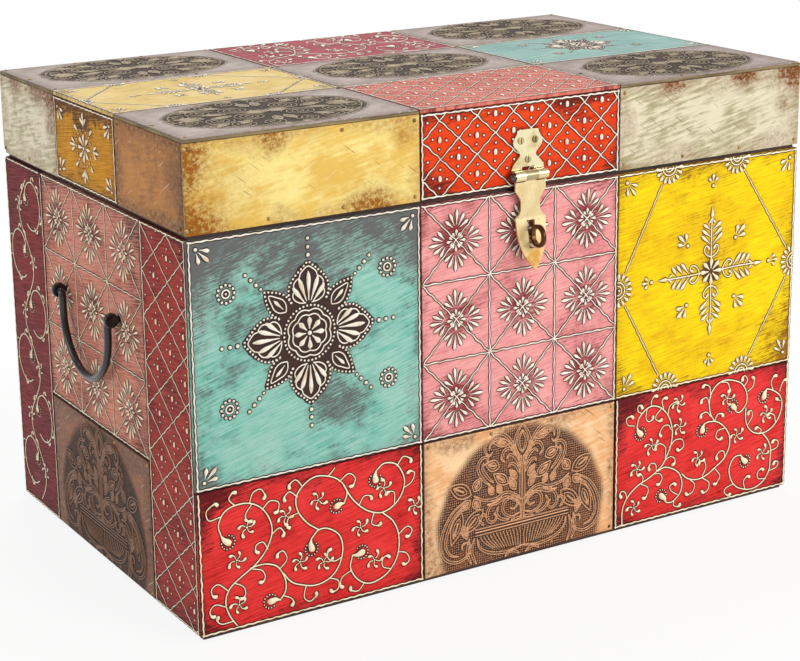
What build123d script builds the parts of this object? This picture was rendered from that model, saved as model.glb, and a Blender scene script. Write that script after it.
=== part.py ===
from build123d import *

import os
from math import cos, radians, sin, tan

# Damchiya chest: a wooden trunk with a deep box lid, faced all round (except the back) with
# painted panels and embossed metal sheets, with a brass hasp, two mortised back hinges and an
# iron bail handle on each end.
#
# Millimetres. +X runs to the right along the front, the front looks towards -Y, +Z is up.
# The origin is the middle of the chest's footprint, on the surface that it stands on.

# ---------------------------------------------------------------- driving dimensions
chest_width = 610.0
chest_depth = 380.0
chest_height = 406.0
lid_height = 75.0

board_thickness = 18.0
lid_top_thickness = 10.0
bottom_thickness = 12.0
bottom_rabbet = 8.0

panel_thickness = 3.0
sheet_thickness = 0.8
panel_gap = 1.0
panel_edge_chamfer = 0.5
panel_bottom_margin = 3.0
panel_seam_margin = 3.0
lid_panel_seam_margin = 0.5

# facing grid: widths of the front columns, of the end columns, height of the lower row
front_left_column = 208.0
front_middle_column = 200.0
end_column = 86.5
lower_row_height = 125.0

# relief hammered into the embossed sheets: a low oval field, its rim and scroll rings
emboss_oval_width_share = 0.82
emboss_oval_height_share = 0.89
emboss_field_rise = 0.4
emboss_line_rise = 1.0
emboss_line_width = 1.8
emboss_rim_inset = 3.0
emboss_heart_width = 34.0
emboss_heart_height = 12.0
emboss_rings = [(0.236, 0.25, 0.21), (0.555, 0.31, 0.18), (0.4, 0.62, 0.14)]
vase_oval_width_share = 0.9
vase_oval_height = 88.0
vase_oval_middle = 35.0
vase_band_width = 98.0
vase_band_height = 28.0
vase_stem_height = 60.0
vase_ring_spacing = 26.0
vase_ring_height = 47.0
vase_ring_radius = 9.5

# tacks that hold the metal sheets
tack_spacing = 66.0
tack_inset = 4.5
tack_head_radius = 1.7
tack_head_height = 1.1
tack_shank_radius = 0.6
tack_length = 6.0
tack_seat_clearance = 0.3

# back hinges, mortised into the seam, with bevelled back edges that stop the lid
hinge_spacing = 360.0
hinge_length = 60.0
hinge_axis_inset = 6.0
hinge_leaf_thickness = 1.6
hinge_knuckle_radius = 3.5
hinge_pin_radius = 1.5
hinge_knuckle_clearance = 0.4
lid_stop_bevel = 49.0
hinge_screw_count = 3
hinge_screw_head_radius = 2.9
hinge_screw_shank_radius = 1.4
hinge_screw_length = 13.0
hinge_screw_edge = 9.0

# hasp
hasp_offset = 7.0
hasp_axis_height = 10.0
hasp_sheet = 1.6
hasp_knuckle_radius = 4.4
hasp_knuckle_length = 11.0
hasp_width = 32.5
hasp_pin_radius = 1.6
hasp_pin_head_radius = 3.6
hasp_face_gap = 0.5
hasp_shoulder_gap = 0.8
hasp_plate_notch = 2.4
hasp_plate_height = 38.0
hasp_plate_lobe = 14.7
hasp_plate_lobe_height = 27.4
hasp_plate_crown = 10.9
hasp_plate_crown_height = 35.2
hasp_plate_waist = 8.0
hasp_plate_waist_height = 17.5
hasp_strap_length = 80.0
hasp_strap_half_width = 15.0
hasp_strap_shoulder = 7.0
hasp_strap_neck = 9.6
hasp_strap_neck_start = 14.0
hasp_strap_neck_end = 22.0
hasp_strap_bend = 10.0
hasp_strap_bend_above_slot = 2.0
hasp_slot_width = 7.5
hasp_slot_height = 23.5
hasp_slot_drop = 49.5
hasp_screw_head_radius = 3.0
hasp_screw_head_height = 1.0
hasp_screw_shank_radius = 1.5
hasp_screw_length = 16.0
hasp_screw_slot = 0.8
hasp_screw_half_spacing = 7.2
hasp_screw_upper_height = 28.9
hasp_screw_lower_height = 12.9

# staple eye that the hasp's slot drops over
staple_thickness = 3.4
staple_outer_radius = 9.9
staple_bore_radius = 6.5
staple_standoff = 17.0
staple_shank_radius = 2.2
staple_depth = 14.0

# bail handles
handle_height = 234.0
handle_eye_spacing = 112.0
handle_leg_spacing = 96.0
handle_leg_straight = 15.0
handle_rod_radius = 3.25
handle_bend_radius = 5.0
handle_end_past_eye = 1.6
handle_standoff = 7.6
handle_eye_radius = 6.4
handle_eye_thickness = 4.5
handle_eye_shank_radius = 2.4
handle_eye_depth = 14.0

# fits
running_clearance = 0.06
shank_clearance = 0.02
knuckle_end_gap = 0.4

# ---------------------------------------------------------------- derived places
left = -chest_width / 2
right = chest_width / 2
front = -chest_depth / 2
back = chest_depth / 2
seam = chest_height - lid_height

core_left = left + panel_thickness
core_right = right - panel_thickness
core_front = front + panel_thickness
core_top = chest_height - panel_thickness

inner_left = core_left + board_thickness
inner_right = core_right - board_thickness
inner_front = core_front + board_thickness
inner_back = back - board_thickness
lid_rail_top = core_top - lid_top_thickness

front_x1 = left + front_left_column
front_x2 = front_x1 + front_middle_column
end_y1 = front + end_column
end_y2 = back - end_column
lid_y1 = front + chest_depth / 3
lid_y2 = back - chest_depth / 3

hinge_axis_y = back - hinge_axis_inset
hinge_middles = [-hinge_spacing / 2, hinge_spacing / 2]
hasp_axis_y = front - hasp_knuckle_radius - hasp_face_gap
hasp_axis_z = seam + hasp_axis_height
staple_y = front - staple_standoff
staple_z = hasp_axis_z - hasp_slot_drop

OUT_FRONT = (0, -1, 0)
OUT_LEFT = (-1, 0, 0)
OUT_RIGHT = (1, 0, 0)
OUT_TOP = (0, 0, 1)
OUT_DOWN = (0, 0, -1)


# ---------------------------------------------------------------- small helpers
def block(x0, x1, y0, y1, z0, z1):
    """Box between two corners."""
    middle = Pos((x0 + x1) / 2, (y0 + y1) / 2, (z0 + z1) / 2)
    return middle * Box(x1 - x0, y1 - y0, z1 - z0)


def rod_x(x0, x1, y, z, radius):
    """Round bar along X."""
    return Pos((x0 + x1) / 2, y, z) * Rot(0, 90, 0) * Cylinder(radius, x1 - x0)


def placed(shape, point, outward):
    """Shape modelled on +Z, moved to a point with +Z turned to the outward direction."""
    return Plane(origin=point, z_dir=outward).location * shape


def group(solids):
    """Several separate solids as one node."""
    return Compound(children=list(solids))


def reaches(shape, tool):
    """Whether two shapes' bounding boxes meet."""
    a = shape.bounding_box()
    b = tool.bounding_box()
    apart = a.min.X > b.max.X or b.min.X > a.max.X
    apart = apart or a.min.Y > b.max.Y or b.min.Y > a.max.Y
    return not (apart or a.min.Z > b.max.Z or b.min.Z > a.max.Z)


def cut(shape, tools):
    """Shape less every tool in a list that reaches it."""
    for tool in tools:
        if reaches(shape, tool):
            shape = shape - tool
    return shape


# ---------------------------------------------------------------- facing panels and sheets
def panel(x0, x1, y0, y1, z0, z1, outward):
    """Painted facing panel with its outer edges eased."""
    solid = block(x0, x1, y0, y1, z0, z1)
    outer_face = solid.faces().sort_by(Axis((0, 0, 0), outward))[-1]
    return chamfer(outer_face.edges(), panel_edge_chamfer)


def layered(x0, x1, y0, y1, z0, z1, outward):
    """Thin metal sheet over its backing board: the two fill one panel's thickness."""
    ox, oy, oz = outward
    t = panel_thickness - sheet_thickness
    backing = block(
        x0 + (ox < 0) * sheet_thickness, x1 - (ox > 0) * sheet_thickness,
        y0 + (oy < 0) * sheet_thickness, y1,
        z0, z1 - (oz > 0) * sheet_thickness,
    )
    sheet = block(
        x0 + (ox > 0) * t, x1 - (ox < 0) * t,
        y0, y1 - (oy < 0) * t,
        z0 + (oz > 0) * t, z1,
    )
    return sheet, backing


def line_ring(a, b):
    """Flat ring one emboss line wide, inside an ellipse."""
    return Ellipse(a, b) - Ellipse(a - emboss_line_width, b - emboss_line_width)


def scrolled_oval(width, height):
    """Relief of the lid's sheets on z = 0: an oval field, its rim and mirrored scroll rings."""
    a = width * emboss_oval_width_share / 2
    b = height * emboss_oval_height_share / 2
    lines = line_ring(a - emboss_rim_inset, b - emboss_rim_inset)
    lines += Ellipse(emboss_heart_width / 2, emboss_heart_height / 2)
    for u, v, r in emboss_rings:
        for x in (-u * a, u * a):
            for y in (-v * b, v * b):
                lines += Pos(x, y) * line_ring(r * b, r * b)
    return extrude(Ellipse(a, b), emboss_field_rise) + extrude(lines, emboss_line_rise)


def vase_half_oval(width, height):
    """Relief of the copper sheets on z = 0: a half oval cut by the lower edge, with a planter band."""
    a = width * vase_oval_width_share / 2
    b = vase_oval_height
    sheet = Rectangle(width, height)
    foot = -height / 2
    rim = line_ring(a - emboss_rim_inset, b - emboss_rim_inset)
    lines = (Pos(0, foot + vase_oval_middle) * rim) & sheet
    band = Rectangle(vase_band_width, emboss_line_width)
    lines += Pos(0, foot + vase_band_height) * band
    lines += Pos(0, foot + vase_band_height + 2 * emboss_line_width) * band
    stem_middle = foot + vase_band_height + vase_stem_height / 2
    lines += Pos(0, stem_middle) * Rectangle(emboss_line_width, vase_stem_height)
    for x in (-vase_ring_spacing / 2, vase_ring_spacing / 2):
        ring = line_ring(vase_ring_radius, vase_ring_radius)
        lines += Pos(x, foot + vase_ring_height) * ring
    field = (Pos(0, foot + vase_oval_middle) * Ellipse(a, b)) & sheet
    return extrude(field, emboss_field_rise) + extrude(lines, emboss_line_rise)


def marks(low, high):
    """Evenly spaced places from low to high, about a tack spacing apart."""
    count = max(1, round((high - low) / tack_spacing))
    return [low + (high - low) * i / count for i in range(count + 1)]


def tack_points(u0, u1, v0, v1):
    """Points round a rectangle's edge, set in from it."""
    us = marks(u0 + tack_inset, u1 - tack_inset)
    vs = marks(v0 + tack_inset, v1 - tack_inset)
    points = [(u, v) for u in us for v in (vs[0], vs[-1])]
    points += [(u, v) for u in (us[0], us[-1]) for v in vs[1:-1]]
    return points


def make_tack():
    """Dome-headed tack: seat of the head at z = 0, shank below."""
    ball_radius = (tack_head_radius**2 + tack_head_height**2) / (2 * tack_head_height)
    ball = Pos(0, 0, tack_head_height - ball_radius) * Sphere(ball_radius)
    dome = ball & block(-ball_radius, ball_radius, -ball_radius, ball_radius, 0, tack_head_height)
    shank = Pos(0, 0, -tack_length / 2) * Cylinder(tack_shank_radius, tack_length)
    return dome + shank


tack = make_tack()
tack_hole = Pos(0, 0, -tack_length / 2) * Cylinder(
    tack_shank_radius + shank_clearance, tack_length
)
tack_seat = Pos(0, 0, tack_head_height) * Cylinder(
    tack_head_radius + tack_seat_clearance, 2 * tack_head_height
)


class Side:
    """One faced side of the chest or lid: panels, sheets, backings, tacks and tack holes."""

    def __init__(self, outward):
        self.outward = outward
        self.backings = []
        self.tacks = []
        self.holes = []

    def sheet(self, x0, x1, y0, y1, z0, z1, relief=None):
        """Metal sheet on its backing, tacked round the edge, with its relief if it has one."""
        metal, backing = layered(x0, x1, y0, y1, z0, z1, self.outward)
        if relief:
            outer = metal.faces().sort_by(Axis((0, 0, 0), self.outward))[-1]
            across = Vector(0, 0, 1).cross(Vector(*self.outward))
            across = across if across.length else Vector(1, 0, 0)
            size = outer.bounding_box().size
            width = size.Y if self.outward[0] else size.X
            height = size.Y if self.outward[2] else size.Z
            seat = Plane(origin=outer.center(), x_dir=across, z_dir=self.outward)
            metal = metal + seat.location * relief(width, height)
        if self.outward[2]:
            points = [(u, v, z1) for u, v in tack_points(x0, x1, y0, y1)]
        elif self.outward[1]:
            points = [(u, y0, v) for u, v in tack_points(x0, x1, z0, z1)]
        else:
            face = x0 if self.outward[0] < 0 else x1
            points = [(face, u, v) for u, v in tack_points(y0, y1, z0, z1)]
        holes = [placed(tack_hole, point, self.outward) for point in points]
        if relief:
            metal = cut(metal, [placed(tack_seat, point, self.outward) for point in points])
        self.tacks += [placed(tack, point, self.outward) for point in points]
        self.backings.append(cut(backing, holes))
        self.holes += holes
        return cut(metal, holes)

    def panel(self, x0, x1, y0, y1, z0, z1):
        """Painted panel."""
        return panel(x0, x1, y0, y1, z0, z1, self.outward)


body_low = panel_bottom_margin
body_high = seam - panel_seam_margin
lid_low = seam + lid_panel_seam_margin
lid_high = core_top - panel_gap / 2
half = panel_gap / 2
front_sides = (front, core_front)
side_front = core_front + half

body_front = Side(OUT_FRONT)
front_turquoise_panel = body_front.panel(
    left, front_x1 - half, *front_sides, lower_row_height + half, body_high
)
front_pink_panel = body_front.panel(
    front_x1 + half, front_x2 - half, *front_sides, lower_row_height + half, body_high
)
front_yellow_panel = body_front.panel(
    front_x2 + half, right, *front_sides, lower_row_height + half, body_high
)
front_left_red_panel = body_front.panel(
    left, front_x1 - half, *front_sides, body_low, lower_row_height - half
)
front_copper_sheet = body_front.sheet(
    front_x1 + half, front_x2 - half, *front_sides, body_low, lower_row_height - half,
    vase_half_oval,
)
front_right_red_panel = body_front.panel(
    front_x2 + half, right, *front_sides, body_low, lower_row_height - half
)


def end_facings(outward):
    """The four facings of one end of the chest."""
    side = Side(outward)
    xs = (left, core_left) if outward == OUT_LEFT else (core_right, right)
    lattice = side.panel(*xs, side_front, end_y1 - half, body_low, body_high)
    flower = side.panel(*xs, end_y1 + half, end_y2 - half, lower_row_height + half, body_high)
    copper = side.sheet(
        *xs, end_y1 + half, end_y2 - half, body_low, lower_row_height - half, vase_half_oval
    )
    vine = side.panel(*xs, end_y2 + half, back, body_low, body_high)
    return side, lattice, flower, copper, vine


body_left, left_lattice_panel, left_flower_panel, left_copper_sheet, left_vine_panel = end_facings(
    OUT_LEFT
)
body_right, right_lattice_panel, right_flower_panel, right_copper_sheet, right_vine_panel = (
    end_facings(OUT_RIGHT)
)

lid_front = Side(OUT_FRONT)
lid_front_brass_sheet = lid_front.sheet(left, front_x1 - half, *front_sides, lid_low, lid_high)
lid_front_lattice_panel = lid_front.panel(
    front_x1 + half, front_x2 - half, *front_sides, lid_low, lid_high
)
lid_front_white_metal_sheet = lid_front.sheet(
    front_x2 + half, right, *front_sides, lid_low, lid_high
)


def lid_end_facings(outward):
    """The three facings of one end of the lid."""
    side = Side(outward)
    xs = (left, core_left) if outward == OUT_LEFT else (core_right, right)
    brass = side.sheet(*xs, side_front, lid_y1 - half, lid_low, lid_high)
    ochre = side.panel(*xs, lid_y1 + half, lid_y2 - half, lid_low, lid_high)
    white = side.sheet(*xs, lid_y2 + half, back, lid_low, lid_high)
    return side, brass, ochre, white


lid_left, lid_left_brass_sheet, lid_left_ochre_panel, lid_left_white_metal_sheet = (
    lid_end_facings(OUT_LEFT)
)
lid_right, lid_right_brass_sheet, lid_right_ochre_panel, lid_right_white_metal_sheet = (
    lid_end_facings(OUT_RIGHT)
)

top_levels = (core_top, chest_height)
column_left = (left, front_x1 - half)
column_middle = (front_x1 + half, front_x2 - half)
column_right = (front_x2 + half, right)
row_front = (front, lid_y1 - half)
row_middle = (lid_y1 + half, lid_y2 - half)
row_back = (lid_y2 + half, back)

lid_top = Side(OUT_TOP)
lid_top_front_left_sheet = lid_top.sheet(
    *column_left, *row_front, *top_levels, scrolled_oval
)
lid_top_front_right_sheet = lid_top.sheet(
    *column_right, *row_front, *top_levels, scrolled_oval
)
lid_top_centre_sheet = lid_top.sheet(
    *column_middle, *row_middle, *top_levels, scrolled_oval
)
lid_top_back_left_sheet = lid_top.sheet(
    *column_left, *row_back, *top_levels, scrolled_oval
)
lid_top_back_right_sheet = lid_top.sheet(
    *column_right, *row_back, *top_levels, scrolled_oval
)
lid_top_coral_panel = lid_top.panel(*column_middle, *row_front, *top_levels)
lid_top_pale_yellow_panel = lid_top.panel(*column_left, *row_middle, *top_levels)
lid_top_pale_turquoise_panel = lid_top.panel(*column_right, *row_middle, *top_levels)
lid_top_rose_panel = lid_top.panel(*column_middle, *row_back, *top_levels)


# ---------------------------------------------------------------- back hinges
knuckle_pitch = hinge_length / 3
leaf_end_y = hinge_axis_y - hinge_knuckle_radius - hinge_knuckle_clearance


def knuckle_spans(middle, outer):
    """X spans of a leaf's knuckles: the outer pair on the body, the centre one on the lid."""
    start = middle - hinge_length / 2
    ends = [start + knuckle_pitch * i for i in range(4)]
    gap = knuckle_end_gap / 2
    if outer:
        return [(ends[0], ends[1] - gap), (ends[2] + gap, ends[3])]
    return [(ends[1] + gap, ends[2] - gap)]


def hinge_leaf(middle, is_lid):
    """Leaf let into the seam, with its knuckles on the hinge axis."""
    low = seam if is_lid else seam - hinge_leaf_thickness
    high = low + hinge_leaf_thickness
    x0 = middle - hinge_length / 2
    x1 = middle + hinge_length / 2
    leaf = block(x0, x1, inner_back, leaf_end_y, low, high)
    bore = rod_x(
        x0 - 1, x1 + 1, hinge_axis_y, seam, hinge_pin_radius + running_clearance
    )
    for start, end in knuckle_spans(middle, not is_lid):
        leaf += block(start, end, leaf_end_y, hinge_axis_y, low, high)
        leaf += rod_x(start, end, hinge_axis_y, seam, hinge_knuckle_radius)
    return cut(leaf, [bore] + hinge_screw_holes(middle, is_lid))


def hinge_screw_points(middle, is_lid):
    """Screw places along one leaf, at the leaf's outer face in the seam."""
    reach = hinge_length / 2 - hinge_screw_edge
    step = 2 * reach / (hinge_screw_count - 1)
    y = (inner_back + leaf_end_y) / 2
    return [(middle - reach + step * i, y, seam) for i in range(hinge_screw_count)]


def countersunk(radius_gap):
    """Countersunk screw from z = 0 downwards, or its hole when given a gap."""
    head_height = hinge_leaf_thickness
    head = Pos(0, 0, -head_height / 2) * Cone(
        hinge_screw_shank_radius + radius_gap, hinge_screw_head_radius + radius_gap, head_height
    )
    shank = Pos(0, 0, -hinge_screw_length / 2) * Cylinder(
        hinge_screw_shank_radius + radius_gap, hinge_screw_length
    )
    return head + shank


def hinge_screw_holes(middle, is_lid):
    """Countersunk holes of one leaf and of the wood behind it."""
    outward = OUT_DOWN if is_lid else OUT_TOP
    hole = countersunk(shank_clearance)
    return [placed(hole, point, outward) for point in hinge_screw_points(middle, is_lid)]


def hinge_screws(is_lid):
    """All the screws of the body's leaves or of the lid's."""
    outward = OUT_DOWN if is_lid else OUT_TOP
    screw = countersunk(0)
    points = [point for middle in hinge_middles for point in hinge_screw_points(middle, is_lid)]
    return [placed(screw, point, outward) for point in points]


def hinge_mortises(is_lid):
    """Wood taken out of a back board for the leaves, the knuckles and the screws."""
    low = seam - 1 if is_lid else seam - hinge_leaf_thickness
    high = seam + hinge_leaf_thickness if is_lid else seam + 1
    tools = []
    for middle in hinge_middles:
        x0 = middle - hinge_length / 2 - knuckle_end_gap
        x1 = middle + hinge_length / 2 + knuckle_end_gap
        tools.append(block(x0, x1, inner_back - 1, hinge_axis_y, low, high))
        tools.append(
            rod_x(x0, x1, hinge_axis_y, seam, hinge_knuckle_radius + hinge_knuckle_clearance)
        )
        tools += hinge_screw_holes(middle, is_lid)
    return tools


def back_bevel(direction):
    """Wedge behind the hinge axis: direction -1 for the body's edge, +1 for the lid's."""
    rise = direction * (hinge_axis_inset + 1) * tan(radians(lid_stop_bevel))
    outline = Plane.YZ * make_face(
        Polyline(
            (hinge_axis_y, seam),
            (back + 1, seam + rise),
            (back + 1, seam - direction),
            (hinge_axis_y, seam - direction),
            close=True,
        )
    )
    return Pos(left, 0, 0) * extrude(outline, chest_width)


hinge_body_leaves = [hinge_leaf(middle, False) for middle in hinge_middles]
hinge_lid_leaves = [hinge_leaf(middle, True) for middle in hinge_middles]
hinge_pins = [
    rod_x(
        middle - hinge_length / 2, middle + hinge_length / 2, hinge_axis_y, seam, hinge_pin_radius
    )
    for middle in hinge_middles
]


# ---------------------------------------------------------------- staple eye and handle eyes
def eye(outer_radius, bore_radius, thickness, standoff, shank_radius, depth):
    """Flat ring on a shank: bore along Y, seat at z = 0, ring above, shank below."""
    ring = Pos(0, 0, standoff) * Rot(90, 0, 0) * Cylinder(outer_radius, thickness)
    ring = fillet(ring.edges().filter_by(GeomType.CIRCLE), thickness / 4)
    shank_top = standoff - (outer_radius + bore_radius) / 2
    shank = Pos(0, 0, (shank_top - depth) / 2) * Cylinder(shank_radius, shank_top + depth)
    bore = Pos(0, 0, standoff) * Rot(90, 0, 0) * Cylinder(bore_radius, thickness + 2)
    return ring + shank - bore


def shank_hole(radius, depth):
    """Hole for an eye's shank below z = 0."""
    return Pos(0, 0, -depth / 2) * Cylinder(radius + shank_clearance, depth)


staple_seat = Plane(
    origin=(hasp_offset, front, staple_z), x_dir=(0, 0, 1), z_dir=OUT_FRONT
).location
staple_eye = staple_seat * eye(
    staple_outer_radius, staple_bore_radius, staple_thickness,
    staple_standoff, staple_shank_radius, staple_depth,
)
staple_hole = staple_seat * shank_hole(staple_shank_radius, staple_depth)

handle_bore_radius = handle_rod_radius + running_clearance
handle_eye = eye(
    handle_eye_radius, handle_bore_radius, handle_eye_thickness,
    handle_standoff, handle_eye_shank_radius, handle_eye_depth,
)
handle_eye_hole = shank_hole(handle_eye_shank_radius, handle_eye_depth)


def handle_seats(outward):
    """Seats of the two eyes on one end of the chest, bores along Y."""
    face = left if outward == OUT_LEFT else right
    places = [-handle_eye_spacing / 2, handle_eye_spacing / 2]
    return [
        Plane(origin=(face, y, handle_height), x_dir=(0, 0, 1), z_dir=outward).location
        for y in places
    ]


def bail(outward):
    """Round iron rod: ends turned out through the eyes, legs down, half circle below."""
    leg = handle_leg_spacing / 2
    end = handle_eye_spacing / 2 + handle_eye_thickness / 2 + handle_end_past_eye
    bend = handle_bend_radius
    low = handle_height - handle_leg_straight
    half_way = bend * (1 - cos(radians(45)))
    x = left - handle_standoff if outward == OUT_LEFT else right + handle_standoff

    def at(y, z):
        return Vector(x, y, z)

    path = Wire(
        [
            Edge.make_line(at(-end, handle_height), at(-leg - bend, handle_height)),
            Edge.make_three_point_arc(
                at(-leg - bend, handle_height),
                at(-leg - half_way, handle_height - half_way),
                at(-leg, handle_height - bend),
            ),
            Edge.make_line(at(-leg, handle_height - bend), at(-leg, low)),
            Edge.make_three_point_arc(at(-leg, low), at(0, low - leg), at(leg, low)),
            Edge.make_line(at(leg, low), at(leg, handle_height - bend)),
            Edge.make_three_point_arc(
                at(leg, handle_height - bend),
                at(leg + half_way, handle_height - half_way),
                at(leg + bend, handle_height),
            ),
            Edge.make_line(at(leg + bend, handle_height), at(end, handle_height)),
        ]
    )
    section = Plane(origin=at(-end, handle_height), z_dir=(0, 1, 0)) * Circle(handle_rod_radius)
    return sweep(section, path=path)


handle_left = bail(OUT_LEFT)
handle_right = bail(OUT_RIGHT)
handle_eyes = [seat * handle_eye for side in (OUT_LEFT, OUT_RIGHT) for seat in handle_seats(side)]
left_eye_holes = [seat * handle_eye_hole for seat in handle_seats(OUT_LEFT)]
right_eye_holes = [seat * handle_eye_hole for seat in handle_seats(OUT_RIGHT)]


# ---------------------------------------------------------------- hasp
hasp_centre_half = hasp_knuckle_length / 2
hasp_half = hasp_width / 2


def outline_front(edges):
    """Half outline in X and height above the hasp axis, mirrored to a whole face."""
    half_face = make_face(edges)
    whole = half_face + mirror(half_face, about=Plane.YZ)
    return Pos(hasp_offset, 0, hasp_axis_z) * (Plane.XZ * whole)


def make_hasp_plate():
    """Lobed plate on the lid with the two outer knuckles."""
    notch_top = hasp_knuckle_radius + hasp_plate_notch
    notch_half = hasp_centre_half + knuckle_end_gap
    flare = hasp_knuckle_radius + hasp_shoulder_gap
    curve = Spline(
        (hasp_half, flare),
        (hasp_plate_waist, hasp_plate_waist_height),
        (hasp_plate_lobe, hasp_plate_lobe_height),
        (hasp_plate_crown, hasp_plate_crown_height),
        (0, hasp_plate_height),
        tangents=((-0.3, 1), (-1, 0)),
    )
    edges = [
        Line((0, hasp_plate_height), (0, notch_top)),
        Polyline((0, notch_top), (notch_half, notch_top), (notch_half, 0), (hasp_half, 0)),
        Line((hasp_half, 0), (hasp_half, flare)),
        curve,
    ]
    flat = Pos(0, front, 0) * extrude(outline_front(edges), hasp_sheet)
    for sign in (-1, 1):
        near = hasp_offset + sign * (hasp_centre_half + knuckle_end_gap)
        far = hasp_offset + sign * hasp_half
        flat += rod_x(min(near, far), max(near, far), hasp_axis_y, hasp_axis_z, hasp_knuckle_radius)
    return cut(flat, [hasp_bore] + hasp_screw_holes)


def make_hasp_strap():
    """Slotted strap: bent band cut to its outline, with the centre knuckle."""
    top = -hasp_knuckle_radius - hasp_shoulder_gap
    bend_z = hasp_slot_drop - hasp_slot_height / 2 - hasp_strap_bend_above_slot
    length = hasp_strap_length
    wide = hasp_strap_half_width
    leaf = length - bend_z
    edges = [
        Line((0, -length), (0, 0)),
        Polyline((0, 0), (hasp_centre_half, 0), (hasp_centre_half, top), (wide, top)),
        Spline(
            (wide, top),
            (wide, top - hasp_strap_shoulder),
            (hasp_strap_neck + hasp_shoulder_gap, top - hasp_strap_neck_start),
            (hasp_strap_neck, top - hasp_strap_neck_end),
            (wide, -bend_z),
            tangents=((0, -1), (1, -0.7)),
        ),
        Spline(
            (wide, -bend_z),
            (wide * 0.98, -bend_z - leaf * 0.23),
            (wide * 0.82, -bend_z - leaf * 0.53),
            (wide * 0.45, -bend_z - leaf * 0.8),
            (0, -length),
            tangents=((-0.15, -1), (-0.8, -1)),
        ),
    ]
    depth = hasp_strap_length
    prism = Pos(0, hasp_axis_y + depth / 2, 0) * extrude(outline_front(edges), depth)
    band = strap_band(bend_z, length)
    knuckle = rod_x(
        hasp_offset - hasp_centre_half, hasp_offset + hasp_centre_half,
        hasp_axis_y, hasp_axis_z, hasp_knuckle_radius,
    )
    slot = block(
        hasp_offset - hasp_slot_width / 2, hasp_offset + hasp_slot_width / 2,
        front - depth, front,
        staple_z - hasp_slot_height / 2, staple_z + hasp_slot_height / 2,
    )
    return (prism & band) + knuckle - slot - hasp_bore


def strap_band(bend_z, length):
    """Side view of the strap, straight down and then bent outwards, as wide as it needs."""
    angle = radians(hasp_strap_bend)
    half_sheet = hasp_sheet / 2
    mitre = half_sheet * tan(angle / 2)
    run = length / cos(angle)
    tip_y = -(run - bend_z) * sin(angle)
    tip_z = -bend_z - (run - bend_z) * cos(angle)
    across_y = half_sheet * cos(angle)
    across_z = half_sheet * sin(angle)
    points = [
        (half_sheet, 0),
        (half_sheet, -bend_z - mitre),
        (tip_y + across_y, tip_z - across_z),
        (tip_y - across_y, tip_z + across_z),
        (-half_sheet, -bend_z + mitre),
        (-half_sheet, 0),
    ]
    placed_points = [(hasp_axis_y + y, hasp_axis_z + z) for y, z in points]
    face = Plane.YZ * make_face(Polyline(*placed_points, close=True))
    return Pos(hasp_offset - hasp_width, 0, 0) * extrude(face, 2 * hasp_width)


hasp_bore = rod_x(
    hasp_offset - hasp_width, hasp_offset + hasp_width,
    hasp_axis_y, hasp_axis_z, hasp_pin_radius + running_clearance,
)
hasp_screw_points = [
    (hasp_offset + x, front - hasp_sheet, hasp_axis_z + z)
    for x, z in (
        (-hasp_screw_half_spacing, hasp_screw_upper_height),
        (hasp_screw_half_spacing, hasp_screw_upper_height),
        (0, hasp_screw_lower_height),
    )
]


def make_hasp_screw():
    """Low round-headed screw with a driver slot: head above z = 0, shank below."""
    head = Pos(0, 0, hasp_screw_head_height / 2) * Cylinder(
        hasp_screw_head_radius, hasp_screw_head_height
    )
    head = fillet(head.edges().sort_by(Axis.Z)[-1], hasp_screw_head_height * 0.6)
    shank = Pos(0, 0, -hasp_screw_length / 2) * Cylinder(hasp_screw_shank_radius, hasp_screw_length)
    slot = Pos(0, 0, hasp_screw_head_height) * Box(
        2 * hasp_screw_head_radius, hasp_screw_slot, hasp_screw_head_height
    )
    return head + shank - slot


hasp_screw = make_hasp_screw()
hasp_screw_hole = Pos(0, 0, -hasp_screw_length / 2) * Cylinder(
    hasp_screw_shank_radius + shank_clearance, hasp_screw_length
)
hasp_screws = [placed(hasp_screw, point, OUT_FRONT) for point in hasp_screw_points]
hasp_screw_holes = [placed(hasp_screw_hole, point, OUT_FRONT) for point in hasp_screw_points]
hasp_plate = make_hasp_plate()
hasp_strap = make_hasp_strap()


def make_hasp_pin():
    """Pin through the three knuckles with a dome head at the left and a riveted right end."""
    x0 = hasp_offset - hasp_half
    x1 = hasp_offset + hasp_half
    pin = rod_x(x0 - 1, x1 + hasp_shoulder_gap, hasp_axis_y, hasp_axis_z, hasp_pin_radius)
    ball = Pos(x0 - knuckle_end_gap, hasp_axis_y, hasp_axis_z) * Sphere(hasp_pin_head_radius)
    reach = hasp_pin_head_radius + 1
    keep = block(
        x0 - knuckle_end_gap - reach, x0 - knuckle_end_gap,
        hasp_axis_y - reach, hasp_axis_y + reach, hasp_axis_z - reach, hasp_axis_z + reach,
    )
    return pin + (ball & keep)


hasp_pin = make_hasp_pin()


# ---------------------------------------------------------------- carcass and lid boards
bottom_board = block(
    inner_left - bottom_rabbet, inner_right + bottom_rabbet,
    inner_front - bottom_rabbet, inner_back + bottom_rabbet,
    0, bottom_thickness,
)
body_holes = body_front.holes + body_left.holes + body_right.holes
body_holes += [staple_hole] + left_eye_holes + right_eye_holes
lid_holes = lid_front.holes + lid_left.holes + lid_right.holes + lid_top.holes + hasp_screw_holes


def body_wall(x0, x1, y0, y1):
    """Wall board of the chest, rabbeted for the bottom and drilled for what is fixed to it."""
    return cut(block(x0, x1, y0, y1, 0, seam), [bottom_board] + body_holes)


def lid_rail(x0, x1, y0, y1):
    """Rail of the lid under its top board, drilled for what is fixed to it."""
    return cut(block(x0, x1, y0, y1, seam, lid_rail_top), lid_holes)


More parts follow.
